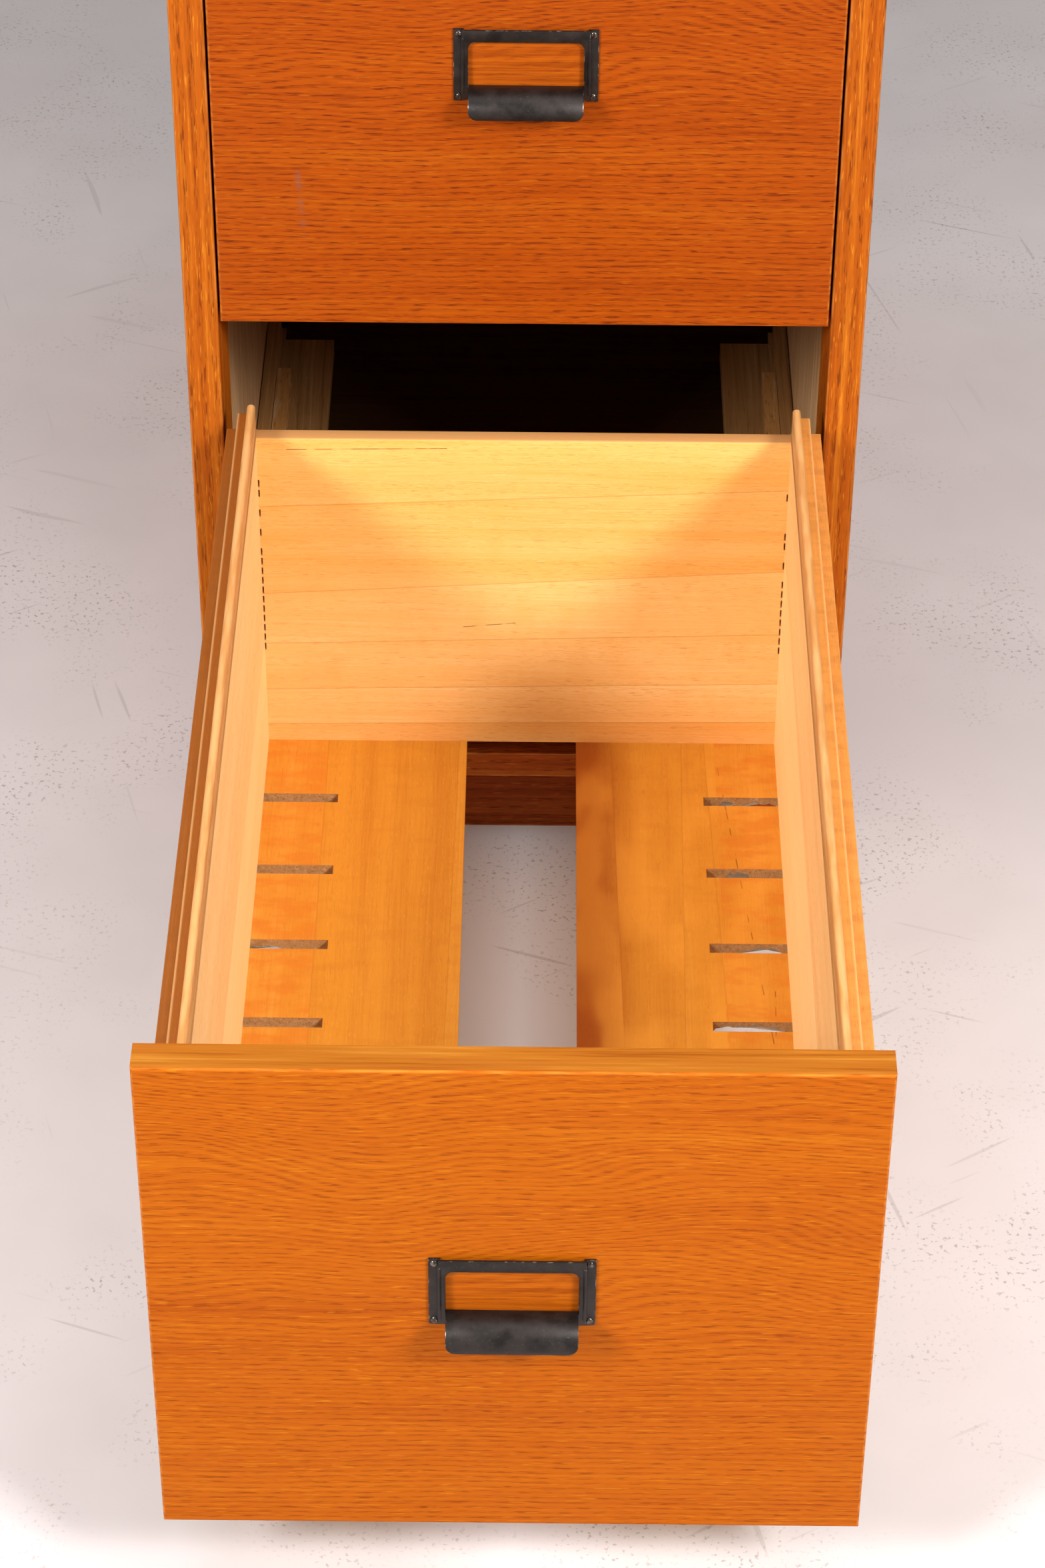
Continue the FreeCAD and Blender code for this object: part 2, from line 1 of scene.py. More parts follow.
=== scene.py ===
# %% [markdown]
# # A vertical filing cabinet in oak
# The cabinet is a tall oak case with four deep drawers on wooden slides. The fronts are oak veneer, the posts
# are solid oak, and the drawer boxes are lacquered beech. Each front has a pressed steel label pull.
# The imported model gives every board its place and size. The looks are added around it here: finishes on the
# boards that are already right, and finer pieces where a plain board is not enough.

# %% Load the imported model
import math
import random

import bmesh
import bpy
from mathutils import Matrix, Vector


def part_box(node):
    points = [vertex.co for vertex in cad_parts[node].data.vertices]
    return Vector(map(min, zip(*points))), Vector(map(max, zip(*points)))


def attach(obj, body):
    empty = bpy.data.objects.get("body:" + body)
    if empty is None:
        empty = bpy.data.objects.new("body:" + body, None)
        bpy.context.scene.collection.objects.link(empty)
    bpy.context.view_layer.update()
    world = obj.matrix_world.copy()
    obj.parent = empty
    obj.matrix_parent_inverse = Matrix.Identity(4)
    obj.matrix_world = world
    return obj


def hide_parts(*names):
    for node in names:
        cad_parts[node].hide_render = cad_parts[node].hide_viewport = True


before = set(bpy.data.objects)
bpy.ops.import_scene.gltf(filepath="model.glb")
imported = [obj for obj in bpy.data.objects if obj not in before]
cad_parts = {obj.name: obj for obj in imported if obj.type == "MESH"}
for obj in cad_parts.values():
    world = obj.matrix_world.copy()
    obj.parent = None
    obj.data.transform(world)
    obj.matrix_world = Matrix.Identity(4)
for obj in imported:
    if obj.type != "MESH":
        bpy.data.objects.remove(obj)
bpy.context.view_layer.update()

MM = 0.001
DRAWERS = ("drawer_1", "drawer_2", "drawer_3", "drawer_4")

# %% [markdown]
# ## The camera
# A tall piece of furniture with an open drawer is best looked at from eye height, from the front and a
# little more than an arm's length beyond the drawer. A long lens keeps its sides nearly parallel.
# The camera is set by a place and three angles.

# %% Set the camera
CAMERA_PLACE = Vector((8.6, -1982.4, 1635.9)) * MM
CAMERA_DOWN = math.radians(38.898)
CAMERA_YAW = math.radians(-0.226)
CAMERA_ROLL = math.radians(0.396)
LENS = 92.5
SENSOR = 36

forward = Vector((math.sin(CAMERA_YAW) * math.cos(CAMERA_DOWN),
                  math.cos(CAMERA_YAW) * math.cos(CAMERA_DOWN), -math.sin(CAMERA_DOWN)))
level = Vector((math.cos(CAMERA_YAW), -math.sin(CAMERA_YAW), 0))
upright = level.cross(forward)
right = math.cos(CAMERA_ROLL) * level + math.sin(CAMERA_ROLL) * upright
up = math.cos(CAMERA_ROLL) * upright - math.sin(CAMERA_ROLL) * level

camera_data = bpy.data.cameras.new("camera")
camera_data.sensor_width = SENSOR
camera_data.lens = LENS
camera = bpy.data.objects.new("camera", camera_data)
camera.matrix_world = Matrix.Translation(CAMERA_PLACE) @ Matrix((right, up, -forward)).transposed().to_4x4()
bpy.context.collection.objects.link(camera)
bpy.context.scene.camera = camera
bpy.context.scene.view_settings.view_transform = "Standard"
print("the camera looks", [round(part, 3) for part in forward])

# %% [markdown]
# ## Light
# Two softboxes stand in front, one to each side, at about 45 degrees and rather higher than the drawer. Each
# wall of the open drawer then throws a soft slanting shadow on the back board, and the two shadows cross
# there. A panel overhead, low reflectors, a white wall behind the camera and a pale room fill what they
# leave dark.

# %% Hang the lamps
AIM = Vector((0, -300, 200)) * MM


def softbox(name, place, size, power):
    """A square area lamp that looks at the middle of the open drawer."""
    data = bpy.data.lights.new(name, "AREA")
    data.shape = "SQUARE"
    data.size = size
    data.energy = power
    lamp = bpy.data.objects.new(name, data)
    lamp.location = place
    lamp.rotation_euler = (AIM - lamp.location).to_track_quat("-Z", "Y").to_euler()
    bpy.context.collection.objects.link(lamp)
    return lamp


SOFTBOX_AWAY = 3.0
SOFTBOX_SIZE = 0.65
ROOM_FILL = 0.14
for name, turn, height, power in (("softbox_left", -47, 35, 80), ("softbox_right", 46, 38.5, 92)):
    turn, height = math.radians(turn), math.radians(height)
    toward = Vector((math.sin(turn) * math.cos(height), -math.cos(turn) * math.cos(height),
                     math.sin(height)))
    softbox(name, AIM + toward * SOFTBOX_AWAY, SOFTBOX_SIZE, power)
softbox("overhead_panel", Vector((0, -0.3, 3.1)), 2.6, 58)
for name, side in (("low_reflector_left", -1), ("low_reflector_right", 1)):
    softbox(name, AIM + Vector((side * 1.9, -2.4, 1.0)), 1.5, 14)
low_wall = softbox("low_white_wall", Vector((0, -3.6, 0.75)), 4.5, 11)
low_wall.data.shape = "RECTANGLE"
low_wall.data.size_y = 1.2

world = bpy.data.worlds.new("pale_room")
bpy.context.scene.world = world
world.use_nodes = True
background = world.node_tree.nodes["Background"].inputs
background["Color"].default_value = (1.0, 0.97, 0.95, 1)
background["Strength"].default_value = ROOM_FILL

# %% [markdown]
# ## Colours and nodes
# Colours are noted as sRGB hex values, the way a paint chart gives them, and one function turns them into
# the linear values that shaders work with. One more function adds a node. The steps that most finishes
# share are written once: a colour that fades into another, and a colour laid over another.

# %% Helpers for finishes


def linear(hex_colour):
    """A linear RGBA colour from an sRGB hex string."""
    parts = [int(hex_colour[i:i + 2], 16) / 255 for i in (1, 3, 5)]
    return tuple(c / 12.92 if c <= 0.04045 else ((c + 0.055) / 1.055) ** 2.4 for c in parts) + (1.0,)


SMOOTH = {"interpolation_type": "SMOOTHSTEP"}
COLOUR = {"data_type": "RGBA"}


def add(tree, kind, inputs=(), out=0, **settings):
    """Add a node with its settings, its inputs' values or links, and return one output, or the node."""
    node = tree.nodes.new("ShaderNode" + kind)
    for key, value in settings.items():
        setattr(node, key, value)
    for key, value in (inputs if isinstance(inputs, dict) else dict(enumerate(inputs))).items():
        if isinstance(value, bpy.types.NodeSocket):
            tree.links.new(value, node.inputs[key])
        else:
            node.inputs[key].default_value = value
    return node if out is None else node.outputs[out]


def toned(tree, colour, toward, value, start, end, low=0.0, high=1.0):
    """A colour that fades into another as a value goes from start to end."""
    share = add(tree, "MapRange", (value, start, end, low, high), **SMOOTH)
    return add(tree, "Mix", {0: share, 6: colour, 7: toward}, 2, **COLOUR)


def laid(tree, colour, over, share, strength):
    """A colour laid over another, where its share says and as strongly as is said."""
    share = add(tree, "Math", (share, strength), operation="MULTIPLY")
    return add(tree, "Mix", {0: share, 6: colour, 7: over}, 2, **COLOUR)


def apart(tree, first, second):
    """How far apart two numbers are."""
    gap = add(tree, "Math", (first, second), operation="SUBTRACT")
    return add(tree, "Math", (gap,), operation="ABSOLUTE")


def finish_shader(name, build):
    """A material whose Principled shader is set up by a function of its node tree."""
    material = bpy.data.materials.new(name)
    material.use_nodes = True
    tree = material.node_tree
    build(tree, tree.nodes["Principled BSDF"])
    return material


def paint(node_name, material):
    """Give every face of a CAD piece one finish."""
    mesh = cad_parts[node_name].data
    mesh.materials.clear()
    mesh.materials.append(material)
    mesh.polygons.foreach_set("material_index", [0] * len(mesh.polygons))


print("middle grey is", round(linear("#808080")[0], 3), "in linear values")

# %% [markdown]
# ## Wood
# All the boards share one recipe. Wood is a bundle of long cells, so every pattern in it is drawn out along
# the grain: broad bands from the growing seasons, fine streaks, and short dark pores. Oak has wide open
# pores and pale flecks, beech has tiny flecks and a calm ground. The recipe works in millimetres measured
# along and across the grain. Solid patterns are used, not flat ones, so the end of a board and its face
# belong to each other.

# %% The wood recipe
GRAIN_ORDER = {"X": ("X", "Z", "Y"), "Y": ("Y", "X", "Z"), "Z": ("Z", "X", "Y")}
BOARD_JUMP = (173.0, 61.0, 29.0)


def board_place(tree, origin, grain):
    """Object coordinates in mm from a board's own origin, and the same turned so that X is the grain."""
    place = add(tree, "TexCoord", out="Object")
    local = add(tree, "VectorMath", {0: place, 1: (1 / MM,) * 3, 2: [-part for part in origin]},
                operation="MULTIPLY_ADD")
    parts = add(tree, "SeparateXYZ", {0: local}, None).outputs
    turned = add(tree, "CombineXYZ", {slot: parts[axis] for slot, axis in zip("XYZ", GRAIN_ORDER[grain])})
    return parts, turned


def grain_noise(tree, turned, along, across, detail=2.0, rough=0.5, shift=0.0):
    """Noise whose cells are so many millimetres long and wide."""
    where = add(tree, "VectorMath", {0: turned, 1: (1 / along, 1 / across, 1 / across), 2: (shift,) * 3},
                operation="MULTIPLY_ADD")
    return add(tree, "TexNoise", {"Vector": where, "Scale": 1.0, "Detail": detail, "Roughness": rough},
               normalize=True)


def waved(tree, turned, along, across, height, shift=0.0):
    """The same place, with the grain bent by a slow wave of so many millimetres."""
    noise = grain_noise(tree, turned, along, across, 1.0, 0.5, shift)
    wave = add(tree, "Math", (noise, 0.5), operation="SUBTRACT")
    wave = add(tree, "Math", (wave, 2 * height), operation="MULTIPLY")
    push = add(tree, "CombineXYZ", {"Y": wave, "Z": wave})
    return add(tree, "VectorMath", {0: turned, 1: push}, operation="ADD")


def past_line(tree, parts, axis, other, place, slope, start=0.0):
    """How far past a line: it is at a place along one axis, and slopes against the other from start on."""
    along = add(tree, "Math", (parts[other], start), operation="SUBTRACT")
    lean = add(tree, "Math", (along, slope), operation="MULTIPLY")
    past = add(tree, "Math", (parts[axis], place), operation="SUBTRACT")
    return add(tree, "Math", (past, lean), operation="SUBTRACT")


def glued_boards(tree, parts, turned, axis, other, lines, seed):
    """Boards glued edge to edge. Each line is (place along axis, slope against other), both in mm.

    Returns the place with every board's pattern moved on its own way, a tone for each board, and the joints.
    """
    count = 0.0
    joint = 0.0
    for place, slope in lines:
        gap = past_line(tree, parts, axis, other, place, slope)
        beyond = add(tree, "Math", (gap, 0.0), operation="GREATER_THAN")
        count = add(tree, "Math", (count, beyond), operation="ADD")
        gap = add(tree, "Math", (gap,), operation="ABSOLUTE")
        line = add(tree, "MapRange", (gap, 0.1, 0.55, 1.0, 0.0), **SMOOTH)
        joint = add(tree, "Math", (joint, line), operation="MAXIMUM")
    which = add(tree, "Math", (count, 7.31 * seed + 0.5), operation="ADD")
    tone = add(tree, "TexWhiteNoise", {"W": which}, "Value", noise_dimensions="1D")
    jump = add(tree, "VectorMath", {0: BOARD_JUMP, "Scale": which}, operation="SCALE")
    moved = add(tree, "VectorMath", {0: turned, 1: jump}, operation="ADD")
    return moved, tone, joint


def ringed(tree, turned, spacing, calm, wild, start, end):
    """Growth rings cut at a slant: straight stripes where the wave is calm, arches where it is wild."""
    across = add(tree, "SeparateXYZ", {0: turned}, "Y")
    wave = add(tree, "Math", (grain_noise(tree, turned, 190.0, 75.0, 1.5, 0.45, 43.0), 0.5),
               operation="SUBTRACT")
    most = add(tree, "MapRange", (across, start, end, 2 * calm, 2 * wild), **SMOOTH)
    swing = add(tree, "Math", (wave, most), operation="MULTIPLY")
    swung = add(tree, "Math", (across, swing), operation="ADD")
    turn = add(tree, "Math", (swung, 2 * math.pi / spacing), operation="MULTIPLY")
    stripe = add(tree, "Math", (turn,), operation="SINE")
    return add(tree, "MapRange", (stripe, -0.7, 0.9), **SMOOTH)


def hairline(tree, parts, axis, other, place, slope, start, end, width=0.35):
    """A fine crack along the grain, at a place on one axis and between two ends on the other."""
    off = past_line(tree, parts, axis, other, place, slope, start)
    off = add(tree, "Math", (off,), operation="ABSOLUTE")
    line = add(tree, "MapRange", (off, 0.5 * width, width, 1.0, 0.0), **SMOOTH)
    begun = add(tree, "Math", (parts[other], start), operation="GREATER_THAN")
    on = add(tree, "Math", (parts[other], end), operation="LESS_THAN")
    inside = add(tree, "Math", (begun, on), operation="MULTIPLY")
    return add(tree, "Math", (line, inside), operation="MULTIPLY")


def worn_edges(tree, parts, low, high, width):
    """1 along the edges of a box and 0 on its faces: the second nearest face is what counts."""
    near = [add(tree, "Math", (apart(tree, parts[axis], low[axis]), apart(tree, high[axis], parts[axis])),
                operation="MINIMUM") for axis in range(3)]
    most = add(tree, "Math", (near[0], near[1]), operation="MAXIMUM")
    least = add(tree, "Math", (near[0], near[1]), operation="MINIMUM")
    other = add(tree, "Math", (most, near[2]), operation="MINIMUM")
    second = add(tree, "Math", (least, other), operation="MAXIMUM")
    return add(tree, "MapRange", (second, 0.0, width, 1.0, 0.0), **SMOOTH)


def wood(name, grain, tones, origin=(0, 0, 0), seed=0, wave=(220.0, 70.0, 5.0), bands=(700.0, 14.0),
         contrast=1.0, rings=None, ring_strength=0.3, pores=(8.0, 0.55, 0.6), pore_colour="#7A3410",
         pore_strength=0.8, flecks=(10.0, 0.7, 0.68), fleck_strength=0.6, figure=None, boards=None,
         board_strength=0.0, joint_colour="#6B3A16", joint_strength=0.35, worn=None, worn_width=2.0,
         worn_colour=None, edge_most=0.5, gloss=0.52, sheen=0.07, bump=0.25, extra=None):
    """Wood from its grain direction, its dark, middle and light tones, and the sizes of its marks in mm."""
    dark, middle, light = (linear(tone) for tone in tones)

    def build(tree, shader):
        parts, turned = board_place(tree, origin, grain)
        tone = joint = 0.0
        if boards:
            turned, tone, joint = glued_boards(tree, parts, turned, *boards, seed)
        bent = waved(tree, turned, *wave, 3.1 * seed)
        band = grain_noise(tree, bent, *bands, 3.0, 0.6, 5.7 + seed)
        streak = grain_noise(tree, bent, 60.0, 1.1, 3.0, 0.65, 11.3 + seed)
        ground = add(tree, "Math", (add(tree, "Math", (band, 0.6), operation="MULTIPLY"),
                                    add(tree, "Math", (streak, 0.4), operation="MULTIPLY")), operation="ADD")
        ground = add(tree, "Math", (ground, contrast, 0.5 * (1 - contrast)), operation="MULTIPLY_ADD")
        if boards:
            step = add(tree, "Math", (tone, 0.5), operation="SUBTRACT")
            step = add(tree, "Math", (step, board_strength), operation="MULTIPLY")
            ground = add(tree, "Math", (ground, step), operation="ADD")
        colour = toned(tree, dark, middle, ground, 0.3, 0.52)
        colour = toned(tree, colour, light, ground, 0.5, 0.72)
        if figure:
            cross = grain_noise(tree, bent, *figure[:2], 2.0, 0.5, 2.2 + seed)
            colour = toned(tree, colour, dark, cross, 0.45, 0.75, 0.0, figure[2])
        pore = grain_noise(tree, bent, pores[0], pores[1], 1.0, 0.5, 17.9 + seed)
        if rings:
            ring = ringed(tree, bent, *rings)
            colour = laid(tree, colour, dark, ring, ring_strength)
            season = add(tree, "Math", (ring, 0.75, 0.25), operation="MULTIPLY_ADD")
        else:
            season = grain_noise(tree, bent, 500.0, 4.5, 2.0, 0.5, 23.0 + seed)
            season = add(tree, "MapRange", (season, 0.38, 0.6, 0.35, 1.0), **SMOOTH)
        pit = add(tree, "MapRange", (pore, pores[2], pores[2] + 0.1), **SMOOTH)
        pit = add(tree, "Math", (pit, season), operation="MULTIPLY")
        colour = laid(tree, colour, linear(pore_colour), pit, pore_strength)
        fleck = grain_noise(tree, bent, flecks[0], flecks[1], 1.0, 0.5, 31.7 + seed)
        colour = toned(tree, colour, light, fleck, flecks[2], flecks[2] + 0.06, 0.0, fleck_strength)
        if boards:
            colour = laid(tree, colour, linear(joint_colour), joint, joint_strength)
        # Paler box edges: rubbed wear on the case; on the fronts, rubbed wear and a painted highlight on the
        # arris.
        if worn:
            edge = worn_edges(tree, parts, *worn, worn_width)
            patchy = grain_noise(tree, turned, 25.0, 6.0, 2.0)
            patchy = add(tree, "MapRange", (patchy, 0.35, 0.65, 0.15 * edge_most, edge_most), **SMOOTH)
            colour = laid(tree, colour, linear(worn_colour), edge, patchy)
        if extra:
            colour = extra(tree, parts, turned, colour)
        tree.links.new(colour, shader.inputs["Base Color"])
        smear = grain_noise(tree, turned, 60.0, 40.0, 2.0)
        smear = add(tree, "MapRange", (smear, 0.3, 0.7, gloss - 0.05, gloss + 0.06), **SMOOTH)
        shine = add(tree, "Math", (add(tree, "Math", (pit, 0.18), operation="MULTIPLY"), smear),
                    operation="ADD")
        tree.links.new(shine, shader.inputs["Roughness"])
        shader.inputs["IOR"].default_value = 1.5
        shader.inputs["Specular IOR Level"].default_value = sheen
        height = add(tree, "Math", (add(tree, "Math", (streak, 0.35), operation="MULTIPLY"), pit),
                     operation="SUBTRACT")
        relief = add(tree, "Bump", {"Height": height, "Strength": bump, "Distance": 0.12 * MM}, "Normal")
        tree.links.new(relief, shader.inputs["Normal"])

    return finish_shader(name, build)


def box_mm(node_name):
    """Low and high corner of a CAD piece in millimetres."""
    return tuple(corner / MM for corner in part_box(node_name))


drawer_place = {}
for drawer in DRAWERS:
    low, high = box_mm(drawer + "_front")
    drawer_place[drawer] = Vector((0, low.y, low.z))
    print(drawer, "stands at", [round(part, 1) for part in drawer_place[drawer]])

# %% [markdown]
# ## The oak of the case
# The posts are solid oak, stained orange-brown and varnished to a satin. Their grain stands upright, the
# dark pores show as fine upright dashes, and the medullary rays as pale flecks. The arrises that hands and
# knees brush are rubbed pale. The rails and the top run the other way, so they get the same oak turned.

# %% Finish the case
OAK = ("#7E3506", "#A4500C", "#C0741C")
OAK_RUBBED = "#EFA555"


def case_oak(name, grain, node_name, seed, tones=OAK, **more):
    """Solid stained oak, rubbed pale along the edges of one board."""
    settings = dict(tones=tones, seed=seed, wave=(260.0, 40.0, 3.0), bands=(900.0, 9.0),
                    rings=(6.5, 2, 2, 0, 1), pores=(12.0, 0.9, 0.54), pore_strength=0.65,
                    pore_colour="#5A2006", flecks=(12.0, 0.8, 0.645), fleck_strength=0.8,
                    worn=box_mm(node_name), worn_width=1.4, worn_colour=OAK_RUBBED, bump=0.35)
    settings.update(more)
    return wood(name, grain, **settings)


for seed, side_name in enumerate(("left", "right")):
    for place, tone_shift in (("front", 0), ("rear", 5)):
        node_name = "%s_%s_post" % (side_name, place)
        paint(node_name, case_oak("stained_oak_" + node_name, "Z", node_name, seed + tone_shift))
    rails = side_name + "_side_rails"
    paint(rails, case_oak("stained_oak_" + rails, "Y", rails, seed + 9, worn=None))
paint("back_rails", case_oak("stained_oak_back_rails", "X", "back_rails", 12, worn=None))
paint("top_board", case_oak("stained_oak_top", "X", "top_board", 13, bands=(900.0, 22.0), worn_width=2.4))
paint("plinth_board", case_oak("stained_oak_plinth", "X", "plinth_board", 14,
                               tones=("#6E2C0C", "#8A3C12", "#A85420")))
paint("bottom_front_rail", case_oak("stained_oak_rail", "X", "bottom_front_rail", 15,
                                    tones=("#84380F", "#A65018", "#C26C28")))
print(len(bpy.data.materials), "finishes so far")

# %% [markdown]
# ## Bare wood inside
# Nobody stained what does not show. Inside, the side panels are pale bare oak with an upright grain, and the
# bearers that carry the drawers are flat boards of bare softwood with bold growth lines. The board at the
# bottom is finished dark brown. Each panel is one board in the model, so its finish changes with the side:
# stained outside, bare inside.

# %% Finish the panels, bearers and stops
BARE_OAK = ("#BE8C5A", "#DEAA76", "#F0C494")
BARE_PINE = ("#84592F", "#B0804C", "#CC9E6C")
DIM_PINE = ("#38200E", "#4A2E16", "#5C3C20")
SKIN = 1.0


def two_sided(axis, face, sign):
    """An extra step for wood(): the side that faces the inside of the case is bare."""
    def bare(tree, parts, turned, colour):
        dark, middle, light = (linear(tone) for tone in BARE_OAK)
        streak = grain_noise(tree, turned, 90.0, 2.6, 3.0, 0.6, 41.0)
        pale = toned(tree, dark, middle, streak, 0.32, 0.5)
        pale = toned(tree, pale, light, streak, 0.5, 0.7)
        depth = add(tree, "Math", (parts[axis], sign), operation="MULTIPLY")
        inside = add(tree, "Math", (depth, face), operation="LESS_THAN")
        return add(tree, "Mix", {0: inside, 6: colour, 7: pale}, 2, **COLOUR)
    return bare


for seed, (side_name, sign) in enumerate((("left", -1), ("right", 1))):
    panel = side_name + "_side_panel"
    low, high = box_mm(panel)
    inner_face = min(abs(low.x), abs(high.x))
    paint(panel, case_oak("oak_panel_" + side_name, "Z", panel, seed + 20, bands=(900.0, 30.0), worn=None,
                          extra=two_sided(0, inner_face + SKIN, sign)))
    for part in ("bearers", "guides"):
        paint(side_name + "_" + part, wood(
            "bare_pine_%s_%s" % (side_name, part), "Y", BARE_PINE, seed=seed + 24, wave=(300.0, 60.0, 6.0),
            bands=(1200.0, 5.5), pores=(20.0, 0.8, 0.66), pore_colour="#2E2216", pore_strength=0.5,
            fleck_strength=0.1, gloss=0.7, bump=0.2))
low, high = box_mm("back_panel")
paint("back_panel", case_oak("oak_panel_back", "X", "back_panel", 28, bands=(900.0, 30.0), worn=None,
                             extra=two_sided(1, low.y + SKIN, 1)))
for name, node_name, tones, seed in (("bare_pine_stops", "drawer_stops", BARE_PINE, 29),
                                     ("dark_bottom_board", "bottom_panel", DIM_PINE, 30)):
    paint(node_name, wood(name, "X", tones, seed=seed, gloss=0.7, bump=0.2, pore_strength=0.4))
print("inside wall at", round(inner_face, 1), "mm from the middle")

# %% [markdown]
# ## The drawer fronts
# A front is a board faced with oak veneer. The grain lies level. Near the top of the sheet the cut runs
# through the rings at a slant and draws flat arches, and lower down it becomes a straight close stripe full
# of dark pores. The four edges carry a thin lipping of plain oak, which takes the stain a little yellower.
# The arrises are painted paler all round: rubbed where the drawer is pushed shut, with a painted highlight on
# the rounded edge. The lowest front, out in more light, gets a lighter copy of the veneer: painted light.

# %% Finish the fronts
VENEER = ("#7E2E02", "#984206", "#A8580C")
# A lighter copy of the veneer for the open lowest front: painted light.
VENEER_PAINTED_LIGHTER = ("#8E3C02", "#A55204", "#B86C0E")
LIPPING = ("#84420A", "#9C5A16", "#AE7026")
VENEER_THICK = 1.3
WINDOW = ((0, 0.0, 33.0), (2, 171.0, 17.0))


def lipped(scuff):
    """An extra step for wood(): plain oak lipping on the edges, and deep colour kept behind the window."""
    def lipping(tree, parts, turned, colour):
        dark, middle, light = (linear(tone) for tone in LIPPING)
        streak = grain_noise(tree, turned, 120.0, 3.0, 3.0, 0.6, 53.0)
        plain = toned(tree, dark, middle, streak, 0.3, 0.5)
        plain = toned(tree, plain, light, streak, 0.5, 0.72)
        stain = grain_noise(tree, turned, 70.0, 12.0, 2.0, 0.5, 57.0)
        plain = toned(tree, plain, linear("#9A5418"), stain, 0.5, 0.7, 0.0, 0.45)
        beyond = [add(tree, "Math", (apart(tree, parts[axis], centre), half), operation="SUBTRACT")
                  for axis, centre, half in WINDOW]
        beyond = add(tree, "Math", beyond, operation="MAXIMUM")
        kept = toned(tree, linear("#7A3204"), linear("#AE560C"), streak, 0.4, 0.6)
        colour = toned(tree, colour, kept, beyond, -1.5, 1.5, 0.5, 0.0)
        if scuff:
            mark = hairline(tree, parts, 0, 2, -126.0, -0.06, 58.0, 108.0, 2.4)
            faint = grain_noise(tree, turned, 30.0, 9.0, 2.0, 0.5, 77.0)
            faint = add(tree, "MapRange", (faint, 0.42, 0.6, 0.0, 0.3), **SMOOTH)
            colour = laid(tree, colour, linear("#5E4A42"), mark, faint)
        behind = add(tree, "Math", (parts[1], VENEER_THICK), operation="GREATER_THAN")
        return add(tree, "Mix", {0: behind, 6: colour, 7: plain}, 2, **COLOUR)
    return lipping


for seed, drawer in enumerate(DRAWERS):
    low, high = (corner - drawer_place[drawer] for corner in box_mm(drawer + "_front"))
    # The lowest front, out in more light, gets a lighter copy of the veneer: painted light.
    tones, pore_strength = (VENEER_PAINTED_LIGHTER, 0.5) if drawer == "drawer_1" else (VENEER, 0.85)
    # Its arrises are painted paler: rubbed wear and a painted highlight on the rounded edge.
    paint(drawer + "_front", wood(
        "oak_veneer_" + drawer, "X", tones, origin=drawer_place[drawer], seed=seed * 1.7,
        wave=(150.0, 55.0, 4.0), bands=(420.0, 16.0), contrast=0.6, rings=(3.8, 1.4, 42, 90, 190),
        pores=(10.0, 0.52, 0.525), pore_colour="#5E1E04", pore_strength=pore_strength,
        flecks=(14.0, 0.9, 0.64), fleck_strength=0.5, worn=(low, high), worn_width=1.6,
        worn_colour="#E8923A", edge_most=0.55, bump=0.3, extra=lipped(drawer == "drawer_2")))
print("a front is", [round(part, 1) for part in high - low], "mm")

# %% [markdown]
# ## The drawer box
# The walls, the back and the floor of a drawer are beech boards, glued edge to edge to make them wide and
# lacquered clear. Beech is pale and even, with short fine flecks. Every board in a glued panel took the
# lacquer its own way, so the joints show as a change of tone with a hair line between, and because the
# boards were planed by hand the joints do not run quite level.

# %% Finish the walls and the runners
BEECH = ("#E4A34E", "#EDB76C", "#F4CE8E")
WALL_BEECH = ("#EDB470", "#F5C888", "#FBD8A0")
# The left runners are a darker copy of the same beech: painted shade.
RUNNER_WITH_PAINTED_SHADE = {"left": ("#8E4A12", "#98541A", "#A66428"), "right": ("#CC8238", "#D78E42", "#E09E54")}


def box_beech(name, grain, seed, origin, tones=BEECH, **more):
    """Clear lacquered beech."""
    settings = dict(origin=origin, seed=seed, wave=(240.0, 60.0, 4.0), bands=(650.0, 20.0), contrast=0.6,
                    pores=(7.0, 0.5, 0.57), pore_colour="#B4692A", pore_strength=0.34,
                    flecks=(5.0, 0.8, 0.66), fleck_strength=0.3, figure=(14.0, 30.0, 0.2),
                    joint_colour="#A8601F", sheen=0.2, bump=0.12)
    settings.update(more)
    return wood(name, grain, tones, **settings)


def back_marks(tree, parts, turned, colour):
    """An extra step for wood(): two fine cracks along the grain of the back board, and its darker crest."""
    cracks = [hairline(tree, parts, 2, 0, 233.0, 0.02, -140.0, -45.0),
              hairline(tree, parts, 2, 0, 104.0, 0.1, -36.0, -4.0)]
    cracks = add(tree, "Math", cracks, operation="MAXIMUM")
    broken = grain_noise(tree, turned, 9.0, 9.0, 1.0)
    broken = add(tree, "MapRange", (broken, 0.4, 0.55, 0.1, 0.85), **SMOOTH)
    colour = laid(tree, colour, linear("#6A3A14"), cracks, broken)
    return toned(tree, colour, linear("#B07A4A"), parts[2], 240.2, 240.8, 0.0, 0.8)


